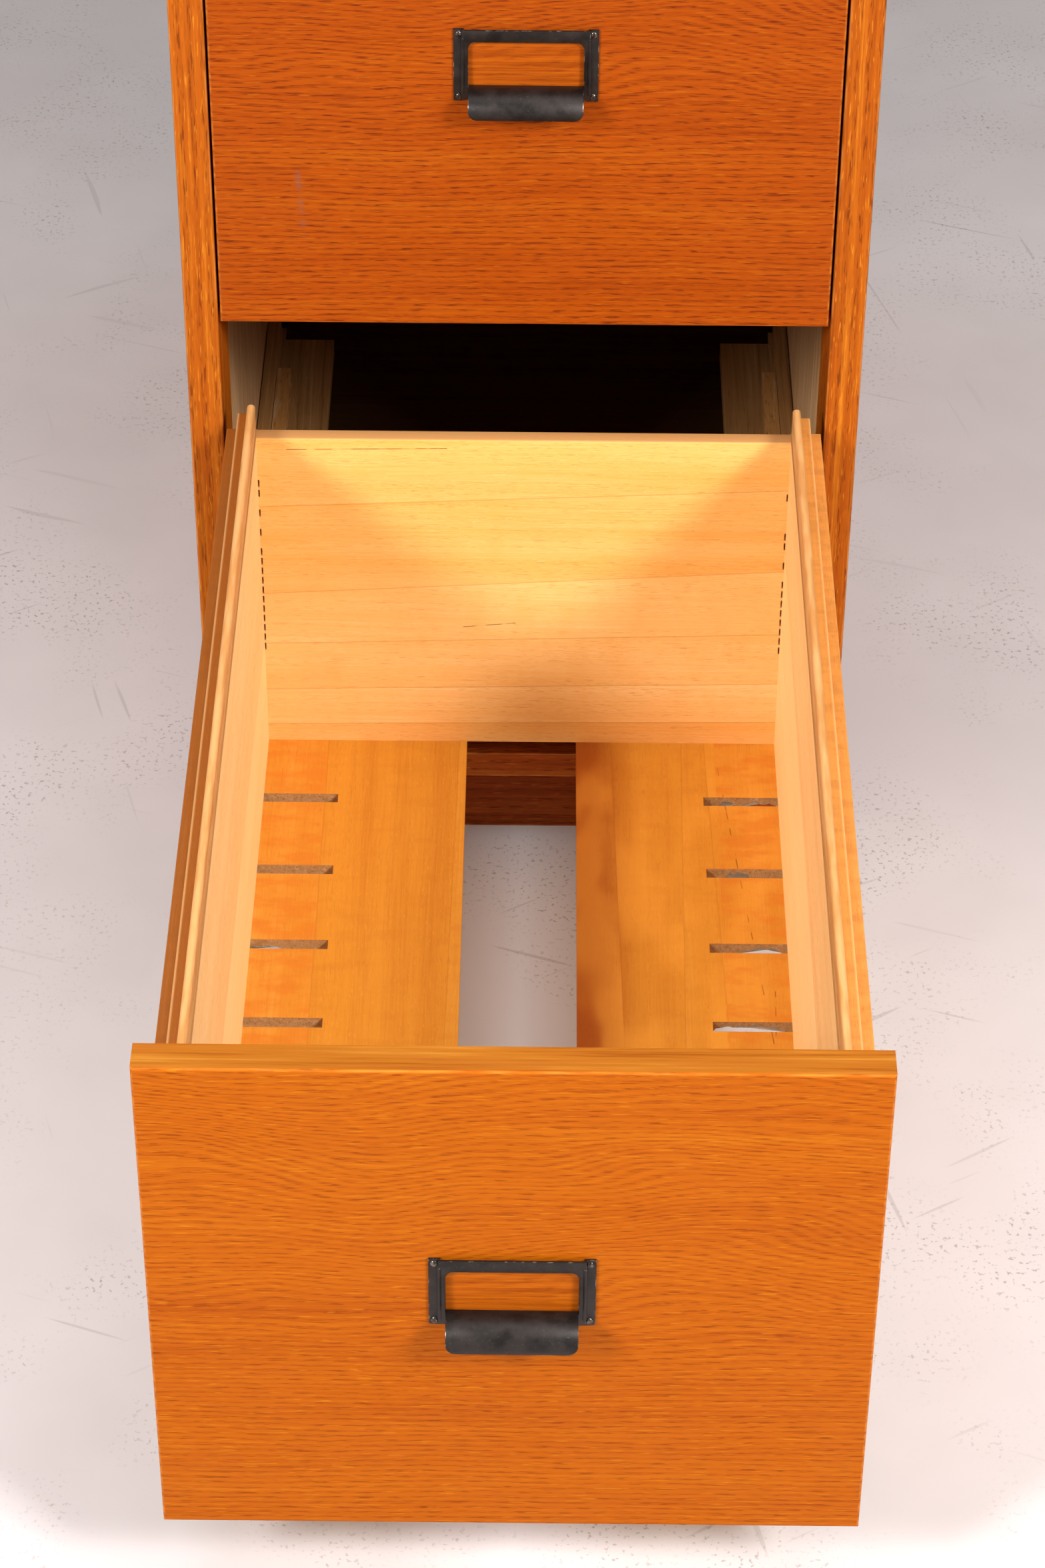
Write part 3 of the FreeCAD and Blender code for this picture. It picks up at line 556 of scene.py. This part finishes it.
def floor_marks(tree, parts, turned, colour):
    """An extra step for wood(): cracks and clouds on the right boards, a curl on the outer boards."""
    cracks = 0.0
    for place, slope, start, end in ((148.0, -0.10, 330.0, 620.0), (141.0, 0.03, 120.0, 420.0),
                                     (153.0, -0.04, 90.0, 300.0)):
        crack = hairline(tree, parts, 0, 1, place, slope, start, end, 0.45)
        cracks = add(tree, "Math", (cracks, crack), operation="MAXIMUM")
    broken = grain_noise(tree, turned, 11.0, 5.0, 1.0, 0.5, 7.0)
    broken = add(tree, "MapRange", (broken, 0.54, 0.62, 0.0, 0.8), **SMOOTH)
    colour = laid(tree, colour, linear("#6A3210"), cracks, broken)
    right_half = add(tree, "Math", (parts[0], 0.0), operation="GREATER_THAN")
    # Painted shade: the right board is darkened towards the slot.
    painted_shade_beside_slot = add(tree, "MapRange", (parts[0], 40.0, 78.0, 0.9, 0.0), **SMOOTH)
    colour = laid(tree, colour, linear("#8E3E06"), right_half, painted_shade_beside_slot)
    cloud = grain_noise(tree, turned, 80.0, 38.0, 2.0, 0.5, 3.0)
    cloud = add(tree, "MapRange", (cloud, 0.45, 0.65, 0.0, 0.3), **SMOOTH)
    colour = laid(tree, colour, linear("#EDA840"), right_half, cloud)
    away = add(tree, "Math", (parts[0],), operation="ABSOLUTE")
    outer = add(tree, "MapRange", (away, 119.6, 120.4), **SMOOTH)
    curl = grain_noise(tree, turned, 12.0, 30.0, 3.0, 0.6, 9.0)
    curl = add(tree, "MapRange", (curl, 0.42, 0.62, 0.15, 0.6), **SMOOTH)
    return laid(tree, colour, linear("#C87020"), outer, curl)


WALL_JOINT = {"left": (116.0, -0.033), "right": (136.0, 0.042)}
STRIP_LINE = 241.0
STEP_ARRIS = 168.2


def wall_marks(place, slope):
    """An extra step for wood(): the paler lower board, the tall strip, and the line where it is glued on."""
    def marks(tree, parts, turned, colour):
        over = past_line(tree, parts, 2, 1, place, slope)
        colour = toned(tree, colour, linear("#FFE0A0"), over, -0.4, 0.4, 0.4, 0.0)
        strip = add(tree, "Math", (parts[2], STRIP_LINE), operation="GREATER_THAN")
        wear = grain_noise(tree, turned, 40.0, 5.0, 2.0, 0.6, 61.0)
        browner = toned(tree, linear("#C08448"), linear("#D29C62"), wear, 0.35, 0.65)
        colour = add(tree, "Mix", {0: strip, 6: colour, 7: browner}, 2, **COLOUR)
        return toned(tree, colour, linear("#8A5424"), apart(tree, parts[2], STRIP_LINE), 0.2, 0.8, 0.75, 0.0)
    return marks


def rubbed_and_lit_step(tree, parts, turned, colour):
    """An extra step for wood(): the stepped top of a runner, its arris rubbed pale and given a painted
    highlight.
    """
    figure = grain_noise(tree, turned, 9.0, 22.0, 2.0, 0.6, 67.0)
    figure = add(tree, "MapRange", (figure, 0.4, 0.7, 0.0, 0.24), **SMOOTH)
    near_top = add(tree, "MapRange", (parts[2], 215.0, 238.0), **SMOOTH)
    colour = laid(tree, colour, linear("#8A5020"), figure, near_top)
    # Painted highlight with rubbed wear: a pale line along the rounded arris of the middle step.
    away = add(tree, "Math", (parts[0],), operation="ABSOLUTE")
    arris = add(tree, "MapRange", (apart(tree, away, STEP_ARRIS), 0.2, 1.2, 0.35, 0.0), **SMOOTH)
    high_up = add(tree, "Math", (parts[2], 250.0), operation="GREATER_THAN")
    return laid(tree, colour, linear("#E9BC80"), arris, high_up)


for seed, drawer in enumerate(DRAWERS):
    for hand, (side_name, joint) in enumerate(WALL_JOINT.items()):
        number = seed * 2 + hand
        paint("%s_%s_side" % (drawer, side_name), box_beech(
            "lacquered_beech_%s_%s_wall" % (drawer, side_name), "Y", 40 + number, drawer_place[drawer],
            tones=WALL_BEECH, boards=(2, 1, [joint]), board_strength=0.1, extra=wall_marks(*joint)))
        paint("%s_%s_cheek" % (drawer, side_name), box_beech(
            "worn_beech_%s_%s_runner" % (drawer, side_name), "Y", 60 + number, drawer_place[drawer],
            tones=RUNNER_WITH_PAINTED_SHADE[side_name], bands=(500.0, 9.0), extra=rubbed_and_lit_step))
print(len(bpy.data.materials), "finishes so far")

# %% [markdown]
# ## The slide laths
# A drawer this deep has to come right out to be of use. A loose lath on each side runs between the drawer
# and the case, and follows it for about a third of the way. It is rubbed with wax, and where the runner
# has passed over it for years it is scraped whitish.

# %% Finish the laths


def waxed(tree, parts, turned, colour):
    """An extra step for wood(): scraped and waxed patches on the top of a lath."""
    patch = grain_noise(tree, turned, 45.0, 4.0, 3.0, 0.6, 71.0)
    return toned(tree, colour, linear("#D8BC92"), patch, 0.5, 0.68, 0.0, 0.45)


for seed, drawer in enumerate(DRAWERS):
    paint(drawer + "_slide_laths", wood(
        "waxed_lath_" + drawer, "Y", ("#B07A40", "#C48C50", "#D29A5C"), origin=drawer_place[drawer],
        seed=80 + seed, bands=(300.0, 6.0), gloss=0.5, bump=0.3, extra=waxed))
print("laths run from y", [round(corner.y) for corner in box_mm("drawer_1_slide_laths")], "mm")

# %% [markdown]
# ## Making new pieces
# Pieces that need finer work than a plain board are made here with bmesh, in millimetres, and turned into
# objects whose place is in the mesh. Faces are smoothed and only the real corners are left sharp.

# %% Helpers for new pieces
SHARP = math.radians(32)


def piece_from(bm, name, materials, body, stands_for):
    """An object from a bmesh in millimetres, which rides on a body and stands for a CAD piece.

    The operators give the faces in another order each time, so they are sorted by their first two corners.
    """
    bm.verts.index_update()
    count = len(bm.verts)
    bm.faces.sort(key=lambda face: face.verts[0].index * count + face.verts[1].index)
    bmesh.ops.scale(bm, vec=(MM,) * 3, verts=bm.verts)
    mesh = bpy.data.meshes.new(name)
    bm.to_mesh(mesh)
    bm.free()
    for material in materials:
        mesh.materials.append(material)
    mesh.polygons.foreach_set("use_smooth", [True] * len(mesh.polygons))
    mesh.set_sharp_from_angle(angle=SHARP)
    piece = bpy.data.objects.new(name, mesh)
    bpy.context.collection.objects.link(piece)
    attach(piece, body)
    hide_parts(stands_for)
    return piece


def only(items, kind):
    """The items of one kind in what an operator made."""
    return [item for item in items if isinstance(item, kind)]


def slab(bm, low, high):
    """A box between two corners."""
    made = bmesh.ops.create_cube(bm, size=1.0)["verts"]
    bmesh.ops.scale(bm, vec=[b - a for a, b in zip(low, high)], verts=made)
    bmesh.ops.translate(bm, vec=[(a + b) / 2 for a, b in zip(low, high)], verts=made)


def slice_at(bm, axis, place):
    """Cut every face along a plane across one axis."""
    normal = [0, 0, 0]
    normal[axis] = 1
    point = [0, 0, 0]
    point[axis] = place
    bmesh.ops.bisect_plane(bm, geom=bm.verts[:] + bm.edges[:] + bm.faces[:], plane_co=point,
                           plane_no=normal)


print("edges sharper than", round(math.degrees(SHARP)), "degrees stay sharp")

# %% [markdown]
# ## The floor boards
# Two panels make the floor, with an open slot between them. Beside each wall, cross slots are sawn right
# through for the feet of divider plates. The saw left the walls of the slots bare and grey-brown, with the
# marks of its teeth, and it broke splinters from the underside as it came out, so daylight shows under
# parts of each slot. A panel is cut from one flat face: the slots are cut out of it, then it is
# extruded to its thickness and the lower edges of the slots are chipped.

# %% Make the floor boards
SLOT_HALF = 34.0
CROSS_COUNT = 8
CROSS_FIRST = 86.3
CROSS_PITCH = 68.1
CROSS_WIDE = 8.2
CROSS_END = 112.0
CHIP_BACK = 7.5
CHIP_STEPS = 22

sawn_beech = wood("sawn_end_grain", "Y", ("#9C6E42", "#BC8A56", "#D4A878"), seed=3, bands=(9.0, 3.0),
                  pores=(1.2, 0.8, 0.6), pore_colour="#6E4E34", flecks=(2.0, 0.6, 0.66), gloss=0.75, bump=0.4)
bare_beech = wood("bare_beech_underside", "Y", ("#DDBF98", "#EBD3B2", "#F5E3C8"), seed=5,
                  pores=(5.0, 0.6, 0.62), pore_colour="#B08A60", pore_strength=0.3, gloss=0.7, bump=0.1)


def chip_height(chips, share):
    """How far the lower edge of a slot is broken away, at a share of its length."""
    return max([0.0] + [tall * math.sqrt(max(0.0, 1 - ((share - middle) / half) ** 2))
                        for middle, half, tall in chips])


def floor_panel(bm, low, high, hand, places, chance):
    """One half of a drawer's floor, in a bmesh."""
    inner, outer = (low.x, high.x)
    corners = [bm.verts.new((x, y, high.z)) for x, y in
               ((inner, low.y), (outer, low.y), (outer, high.y), (inner, high.y))]
    made = bmesh.ops.contextual_create(bm, geom=corners)["faces"]
    slice_at(bm, 0, hand * CROSS_END)
    for place in places:
        for y in (place - CROSS_WIDE / 2, place + CROSS_WIDE / 2, place + CROSS_WIDE / 2 + CHIP_BACK):
            slice_at(bm, 1, y)
    in_slot = [face for face in bm.faces if abs(face.calc_center_median().x) > CROSS_END and any(
        abs(face.calc_center_median().y - place) < CROSS_WIDE / 2 for place in places)]
    bmesh.ops.delete(bm, geom=in_slot, context="FACES")
    top = bm.faces[:]
    grown = bmesh.ops.extrude_face_region(bm, geom=top, use_keep_orig=True)
    bmesh.ops.translate(bm, vec=(0, 0, low.z - high.z), verts=only(grown["geom"], bmesh.types.BMVert))
    bmesh.ops.recalc_face_normals(bm, faces=bm.faces)
    for place in places:
        far = place + CROSS_WIDE / 2
        rim = [edge for edge in bm.edges if all(abs(v.co.y - far) < 0.01 and abs(v.co.z - low.z) < 0.01
                                                and abs(v.co.x) > CROSS_END - 0.01 for v in edge.verts)]
        cut = bmesh.ops.subdivide_edges(bm, edges=rim, cuts=CHIP_STEPS, use_grid_fill=False)
        chips = [(chance.uniform(0.2, 0.9), chance.uniform(0.1, 0.28), chance.uniform(3.0, 5.8))
                 for _ in range(chance.choice((1, 2, 2, 3)) if hand > 0 else chance.choice((0, 0, 1)))]
        for vert in only(cut["geom_inner"], bmesh.types.BMVert):
            share = (abs(vert.co.x) - CROSS_END) / (abs(outer if hand > 0 else inner) - CROSS_END)
            rise = chip_height(chips, share) * chance.uniform(0.45, 1.0) + chance.uniform(0.0, 0.4)
            vert.co.z += rise
            vert.co.y += 0.15 * rise
    for face in bm.faces:
        middle = face.calc_center_median()
        beside = any(abs(middle.y - place) < CROSS_WIDE / 2 + 1.5 for place in places)
        wall = abs(face.normal.z) < 0.9 and abs(middle.x) > CROSS_END - 0.1
        underside = face.normal.z < -0.9
        face.material_index = 1 if beside and wall else 2 if underside else 0


FLOOR_TONES = ("#B87220", "#CA882A", "#DCA044")
FLOOR_JOINTS = [(-120.0, 0.0), (-46.0, 0.012), (68.0, -0.02), (92.0, 0.012), (132.0, -0.03)]
for seed, drawer in enumerate(DRAWERS):
    chance = random.Random(100 + seed)
    low, high = box_mm(drawer + "_floor_boards")
    places = [drawer_place[drawer].y + CROSS_FIRST + CROSS_PITCH * n for n in range(CROSS_COUNT)]
    lacquered = box_beech("lacquered_beech_%s_floor" % drawer, "Y", 90 + seed, drawer_place[drawer],
                          tones=FLOOR_TONES, boards=(0, 1, FLOOR_JOINTS), board_strength=0.12,
                          figure=(9.0, 26.0, 0.3), extra=floor_marks)
    bm = bmesh.new()
    floor_panel(bm, low, Vector((-SLOT_HALF, high.y, high.z)), -1, places, chance)
    other = bmesh.new()
    floor_panel(other, Vector((SLOT_HALF, low.y, low.z)), high, 1, places, chance)
    half = bpy.data.meshes.new("half")
    other.to_mesh(half)
    other.free()
    bm.from_mesh(half)
    bpy.data.meshes.remove(half)
    piece_from(bm, drawer + "_floor_panels", (lacquered, sawn_beech, bare_beech), drawer,
               drawer + "_floor_boards")

# %% [markdown]
# ## The back boards
# The back is five beech boards, glued, with a softly rounded top. It is let into the walls with a box joint,
# and where the fingers were cut a little short there are small dark gaps along both corners. The gaps are
# real recesses: the board is sliced into a fine margin and the faces of the gaps are pushed in.

# %% Make the back boards
BACK_JOINTS = [(30.0, 0.015), (58.5, 0.023), (95.0, 0.032), (137.5, 0.0625), (199.2, 0.047)]
GAP_WIDE = 0.9
GAP_TALL = 5.4
GAP_PITCH = 7.1
GAP_DEEP = 5.5


def back_board(name, low, high, chance, materials, drawer):
    """A back with a rounded crest and the gaps of its box joints."""
    bm = bmesh.new()
    slab(bm, low, high)
    crest = [edge for edge in bm.edges if all(abs(v.co.z - high.z) < 0.01 for v in edge.verts)
             and abs(edge.verts[0].co.y - edge.verts[1].co.y) < 0.01]
    bmesh.ops.bevel(bm, geom=crest, offset=1.1, offset_type="OFFSET", segments=3, profile=0.5,
                    affect="EDGES", material=-1)
    for x in (low.x + GAP_WIDE, high.x - GAP_WIDE):
        slice_at(bm, 0, x)
    gaps = []
    for side in (0, 1):
        z = low.z + 70
        while z < high.z - 34:
            if chance.random() < (0.9 if z < low.z + 125 else 0.4):
                gaps.append((side, z))
            z += GAP_PITCH
    for z in sorted({z for side, z in gaps}):
        slice_at(bm, 2, z)
        slice_at(bm, 2, z + GAP_TALL)
    chosen = []
    for face in bm.faces:
        middle = face.calc_center_median()
        side = 0 if middle.x < 0 else 1
        margin = min(middle.x - low.x, high.x - middle.x) < GAP_WIDE
        in_gap = any(hand == side and z < middle.z < z + GAP_TALL for hand, z in gaps)
        if face.normal.y < -0.9 and margin and in_gap:
            chosen.append(face)
    bmesh.ops.inset_individual(bm, faces=chosen, thickness=0.02, depth=-GAP_DEEP, use_even_offset=True)
    return piece_from(bm, name, materials, drawer, drawer + "_back")


for seed, drawer in enumerate(DRAWERS):
    low, high = box_mm(drawer + "_back")
    beech = box_beech("lacquered_beech_%s_back" % drawer, "X", 110 + seed, drawer_place[drawer],
                      boards=(2, 0, BACK_JOINTS), board_strength=0.16, extra=back_marks)
    back_board(drawer + "_back_board", low, high, random.Random(200 + seed), (beech,), drawer)

# %% [markdown]
# ## The label pulls
# Each pull is one pressing of thin sheet steel, chemically blackened. A raised frame with a window holds a
# paper label, and the metal of the window is folded outwards into a hood for the fingers. Two flanges are
# pinned to the front. It is modelled as the press makes it: a flat blank with its window is filled, the
# flanges are folded back, the hood is spun out of the window's lower edge, and the sheet gets its
# thickness last. The blackening is dark and dull, and wears through to bare metal on the edges.

# %% Black the steel
STEEL = 1.2


def blacked(tree, shader):
    """Blackened steel is dark and a little blue or brown, with a dull sheen and thumbed smears."""
    place = add(tree, "TexCoord", out="Object")
    smear = add(tree, "TexNoise", {"Vector": place, "Scale": 90.0, "Detail": 4.0, "Roughness": 0.6})
    fine = add(tree, "TexNoise", {"Vector": place, "Scale": 900.0, "Detail": 2.0})
    colour = toned(tree, linear("#25211F"), linear("#332D2A"), smear, 0.35, 0.65)
    colour = toned(tree, colour, linear("#6B5B4C"), fine, 0.64, 0.76, 0.0, 0.3)
    tree.links.new(colour, shader.inputs["Base Color"])
    dull = add(tree, "MapRange", (smear, 0.3, 0.7, 0.36, 0.5), **SMOOTH)
    tree.links.new(dull, shader.inputs["Roughness"])
    relief = add(tree, "Bump", {"Height": fine, "Strength": 0.15, "Distance": 0.05 * MM}, "Normal")
    tree.links.new(relief, shader.inputs["Normal"])
    shader.inputs["Metallic"].default_value = 0.75


def worn_metal(scale, detail, edges, tones, roughness, metallic):
    """Blackened steel that is rubbed through to the bare metal in patches."""
    def build(tree, shader):
        place = add(tree, "TexCoord", out="Object")
        patch = add(tree, "TexNoise", {"Vector": place, "Scale": scale, "Detail": detail})
        colour = toned(tree, linear(tones[0]), linear(tones[1]), patch, *edges)
        tree.links.new(colour, shader.inputs["Base Color"])
        shader.inputs["Roughness"].default_value = roughness
        shader.inputs["Metallic"].default_value = metallic
    return build


black_steel = finish_shader("blackened_steel", blacked)
rubbed_steel = finish_shader("rubbed_steel_edge", worn_metal(220.0, 3.0, (0.52, 0.68),
                                                             ("#2E2825", "#8C7E70"), 0.38, 0.85))
print("the pulls are", black_steel.name, "and", rubbed_steel.name)

# %% Press the pulls
PULL_BASE = 147.0
FRAME_HALF = 35.0
FRAME_FOOT = 1.4
FRAME_STAND = 1.6
WINDOW_HALF = 32.0
WINDOW_BASE = 9.7
WINDOW_HIGH = 27.3
CORNER = 4.2
LIP_FLAT = 3.5
LIP_BEND = 12.7
LIP_TAIL = 0.7
LIP_CORNER = 5.2
BEAD_RADIUS = 1.1
BEAD_END = 4.4


def pressed_sheet(bm, half_wide, high, front):
    """The middle surface of the pressing, in a plane at y = front, with its window and hood."""
    blank, window = ([bm.verts.new((x, front, z)) for x, z in
                      ((-half, foot), (half, foot), (half, head), (-half, head))]
                     for half, foot, head in ((FRAME_HALF, FRAME_FOOT, high),
                                              (WINDOW_HALF, WINDOW_BASE, WINDOW_BASE + WINDOW_HIGH)))
    bmesh.ops.contextual_create(bm, geom=window)
    bmesh.ops.bevel(bm, geom=window[2:], offset=CORNER, offset_type="OFFSET", segments=7, profile=0.5,
                    affect="VERTICES", material=-1)
    inner = list({edge for face in bm.faces for edge in face.edges})
    bmesh.ops.delete(bm, geom=bm.faces[:], context="FACES_ONLY")
    outer = [bm.edges.new((blank[i], blank[(i + 1) % 4])) for i in range(4)]
    bmesh.ops.triangle_fill(bm, use_beauty=True, use_dissolve=False, edges=outer + inner)

    def edges_at(test):
        return [edge for edge in bm.edges if edge.is_boundary and all(test(v.co) for v in edge.verts)]

    for hand in (-1, 1):
        side = edges_at(lambda co: abs(co.x - hand * FRAME_HALF) < 0.01)
        for move in ((0, -front - STEEL / 2, 0), (hand * (half_wide - FRAME_HALF), 0, 0)):
            grown = bmesh.ops.extrude_edge_only(bm, edges=side)["geom"]
            moved = only(grown, bmesh.types.BMVert)
            bmesh.ops.translate(bm, vec=move, verts=moved)
            for vert in moved:
                vert.co.z = 0 if vert.co.z < high / 2 else high
            side = only(grown, bmesh.types.BMEdge)
    root = edges_at(lambda co: abs(co.z - WINDOW_BASE) < 0.01 and abs(co.x) < WINDOW_HALF + 0.01)
    grown = bmesh.ops.extrude_edge_only(bm, edges=root)["geom"]
    bmesh.ops.translate(bm, vec=(0, -LIP_FLAT, 0), verts=only(grown, bmesh.types.BMVert))
    rim = only(grown, bmesh.types.BMEdge)
    bend = LIP_BEND - STEEL / 2
    centre = (0, front - LIP_FLAT, WINDOW_BASE - bend)
    spun = bmesh.ops.spin(bm, geom=rim, cent=centre, axis=(1, 0, 0), dvec=(0, 0, 0), angle=math.radians(90),
                          steps=18, use_duplicate=False)["geom_last"]
    grown = bmesh.ops.extrude_edge_only(bm, edges=only(spun, bmesh.types.BMEdge))["geom"]
    bmesh.ops.translate(bm, vec=(0, 0, -LIP_TAIL), verts=only(grown, bmesh.types.BMVert))
    lowest = min(v.co.z for v in bm.verts if v.co.y < front - LIP_FLAT)
    for vert in bm.verts:
        rise = vert.co.z - lowest
        if vert.co.y < front - LIP_FLAT - bend / 2 and rise < LIP_CORNER:
            narrow = LIP_CORNER - math.sqrt(LIP_CORNER ** 2 - (LIP_CORNER - rise) ** 2)
            vert.co.x -= math.copysign(narrow, vert.co.x)
    bmesh.ops.recalc_face_normals(bm, faces=bm.faces)


def bead(bm, x, y, low, high):
    """The small rounded rib that stiffens the fold beside the frame."""
    made = bmesh.ops.create_uvsphere(bm, u_segments=12, v_segments=8, radius=BEAD_RADIUS)["verts"]
    for vert in made:
        vert.co.z = high - BEAD_RADIUS + vert.co.z if vert.co.z > 0 else low + BEAD_RADIUS + vert.co.z
    bmesh.ops.translate(bm, vec=(x, y, 0), verts=made)


def solid_sheet(bm, name):
    """The pressing with its thickness and softly rounded edges, as a new bmesh."""
    mesh = bpy.data.meshes.new(name)
    bm.to_mesh(mesh)
    bm.free()
    mesh.materials.append(black_steel)
    mesh.materials.append(rubbed_steel)
    blank = bpy.data.objects.new(name, mesh)
    bpy.context.collection.objects.link(blank)
    thick = blank.modifiers.new("thickness", "SOLIDIFY")
    thick.thickness = STEEL
    thick.offset = 0
    thick.use_even_offset = True
    soft = blank.modifiers.new("soft_edges", "BEVEL")
    soft.width = 0.32
    soft.segments = 2
    soft.limit_method = "ANGLE"
    soft.angle_limit = math.radians(40)
    soft.material = 1
    made = bpy.data.meshes.new_from_object(blank.evaluated_get(bpy.context.evaluated_depsgraph_get()))
    solid = bmesh.new()
    solid.from_mesh(made)
    bpy.data.objects.remove(blank)
    bpy.data.meshes.remove(mesh)
    bpy.data.meshes.remove(made)
    return solid


for drawer in DRAWERS:
    low, high = box_mm(drawer + "_pull")
    front = drawer_place[drawer].y
    base = drawer_place[drawer].z + PULL_BASE
    bm = bmesh.new()
    sheet_front = -FRAME_STAND - STEEL / 2
    pressed_sheet(bm, high.x, high.z - base, sheet_front)
    bm = solid_sheet(bm, drawer + "_blank")
    for hand in (-1, 1):
        bead(bm, hand * FRAME_HALF, -FRAME_STAND - STEEL + 0.35, BEAD_END, high.z - base - BEAD_END)
    bmesh.ops.translate(bm, vec=(0, front, base), verts=bm.verts)
    piece_from(bm, drawer + "_label_pull", (black_steel, rubbed_steel), drawer, drawer + "_pull")

# %% [markdown]
# ## The pins
# Four round-headed pins hold each pull. Their heads are domes, polished a little by every duster. A dome is
# a quarter curve spun round an upright line, so it is made by the spin operator.

# %% Turn the pins
HEAD_RADIUS = 2.1
HEAD_HIGH = 1.2
PIN_IN = 2.9
PIN_UP = 3.0
SHANK_LONG = 9.0
SHANK_RADIUS = 1.0
pin_steel = finish_shader("blackened_pin_steel", worn_metal(400.0, 2.0, (0.4, 0.65),
                                                            ("#3B3530", "#6F655C"), 0.24, 0.9))


def pin(bm, x, y, z):
    """One pin: a domed head in front of y, and its shank behind."""
    profile = [(HEAD_RADIUS * math.sin(a), -HEAD_HIGH * math.cos(a)) for a in
               [math.radians(90) * n / 8 for n in range(9)]]
    profile += [(SHANK_RADIUS, 0.0), (SHANK_RADIUS, SHANK_LONG - 1.5), (0.0, SHANK_LONG)]
    verts = [bm.verts.new((x + radius, y + depth, z)) for radius, depth in profile]
    edges = [bm.edges.new(pair) for pair in zip(verts, verts[1:])]
    bmesh.ops.spin(bm, geom=verts + edges, cent=(x, y, z), axis=(0, 1, 0), dvec=(0, 0, 0),
                   angle=math.radians(360), steps=24, use_merge=True, use_duplicate=False)


for drawer in DRAWERS:
    low, high = box_mm(drawer + "_pull")
    base = drawer_place[drawer].z + PULL_BASE
    bm = bmesh.new()
    for x in (low.x + PIN_IN, high.x - PIN_IN):
        for z in (base + PIN_UP, high.z - PIN_UP):
            pin(bm, x, drawer_place[drawer].y - STEEL, z)
    bmesh.ops.remove_doubles(bm, verts=bm.verts, dist=0.001)
    bmesh.ops.recalc_face_normals(bm, faces=bm.faces)
    piece_from(bm, drawer + "_round_pins", (pin_steel,), drawer, drawer + "_pull_pins")
print("pins:", 4 * len(DRAWERS))

# %% [markdown]
# ## The floor of the room
# The cabinet stands on a pale painted studio floor. Years of use have left it with faint clouds, fine dark
# specks in loose clusters and a few hair scratches. It is one flat face, because nothing on it has height.

# %% Lay the floor


def studio_floor(tree, shader):
    """Matt pale paint on concrete."""
    place = add(tree, "TexCoord", out="Object")
    cloud, speck, group = (
        add(tree, "TexNoise", {"Vector": place, "Scale": scale, "Detail": detail, "Roughness": 0.6})
        for scale, detail in ((1.6, 5.0), (330.0, 3.0), (7.0, 3.0)))
    dots = add(tree, "Math", (add(tree, "MapRange", (speck, 0.585, 0.64), **SMOOTH),
                              add(tree, "MapRange", (group, 0.45, 0.64), **SMOOTH)), operation="MULTIPLY")
    colour = toned(tree, linear("#C9C1C0"), linear("#D6CFCE"), cloud, 0.35, 0.65)
    colour = laid(tree, colour, linear("#8C827B"), dots, 0.65)
    for turn, stretch, most in ((0.35, 2.6, 0.35), (1.3, 3.2, 0.3), (2.6, 4.0, 0.3)):
        turned = add(tree, "VectorRotate", {"Vector": place, "Angle": turn}, rotation_type="Z_AXIS")
        turned = add(tree, "VectorMath", {0: turned, 1: (stretch, 60.0, 1.0)}, operation="MULTIPLY")
        line = add(tree, "TexNoise", {"Vector": turned, "Scale": 2.0, "Detail": 1.0})
        scratch = add(tree, "Math", (add(tree, "MapRange", (line, 0.72, 0.75), **SMOOTH),
                                     add(tree, "MapRange", (cloud, 0.4, 0.6), **SMOOTH)),
                      operation="MULTIPLY")
        colour = laid(tree, colour, linear("#8F8782"), scratch, most)
    tree.links.new(colour, shader.inputs["Base Color"])
    shader.inputs["Roughness"].default_value = 0.62


FLOOR_HALF = 6.0
bm = bmesh.new()
bmesh.ops.create_grid(bm, x_segments=1, y_segments=1, size=FLOOR_HALF)
floor_mesh = bpy.data.meshes.new("room_floor")
bm.to_mesh(floor_mesh)
bm.free()
floor_mesh.materials.append(finish_shader("painted_studio_floor", studio_floor))
room_floor = bpy.data.objects.new("room_floor", floor_mesh)
bpy.context.collection.objects.link(room_floor)
print("floor", 2 * FLOOR_HALF, "m square")
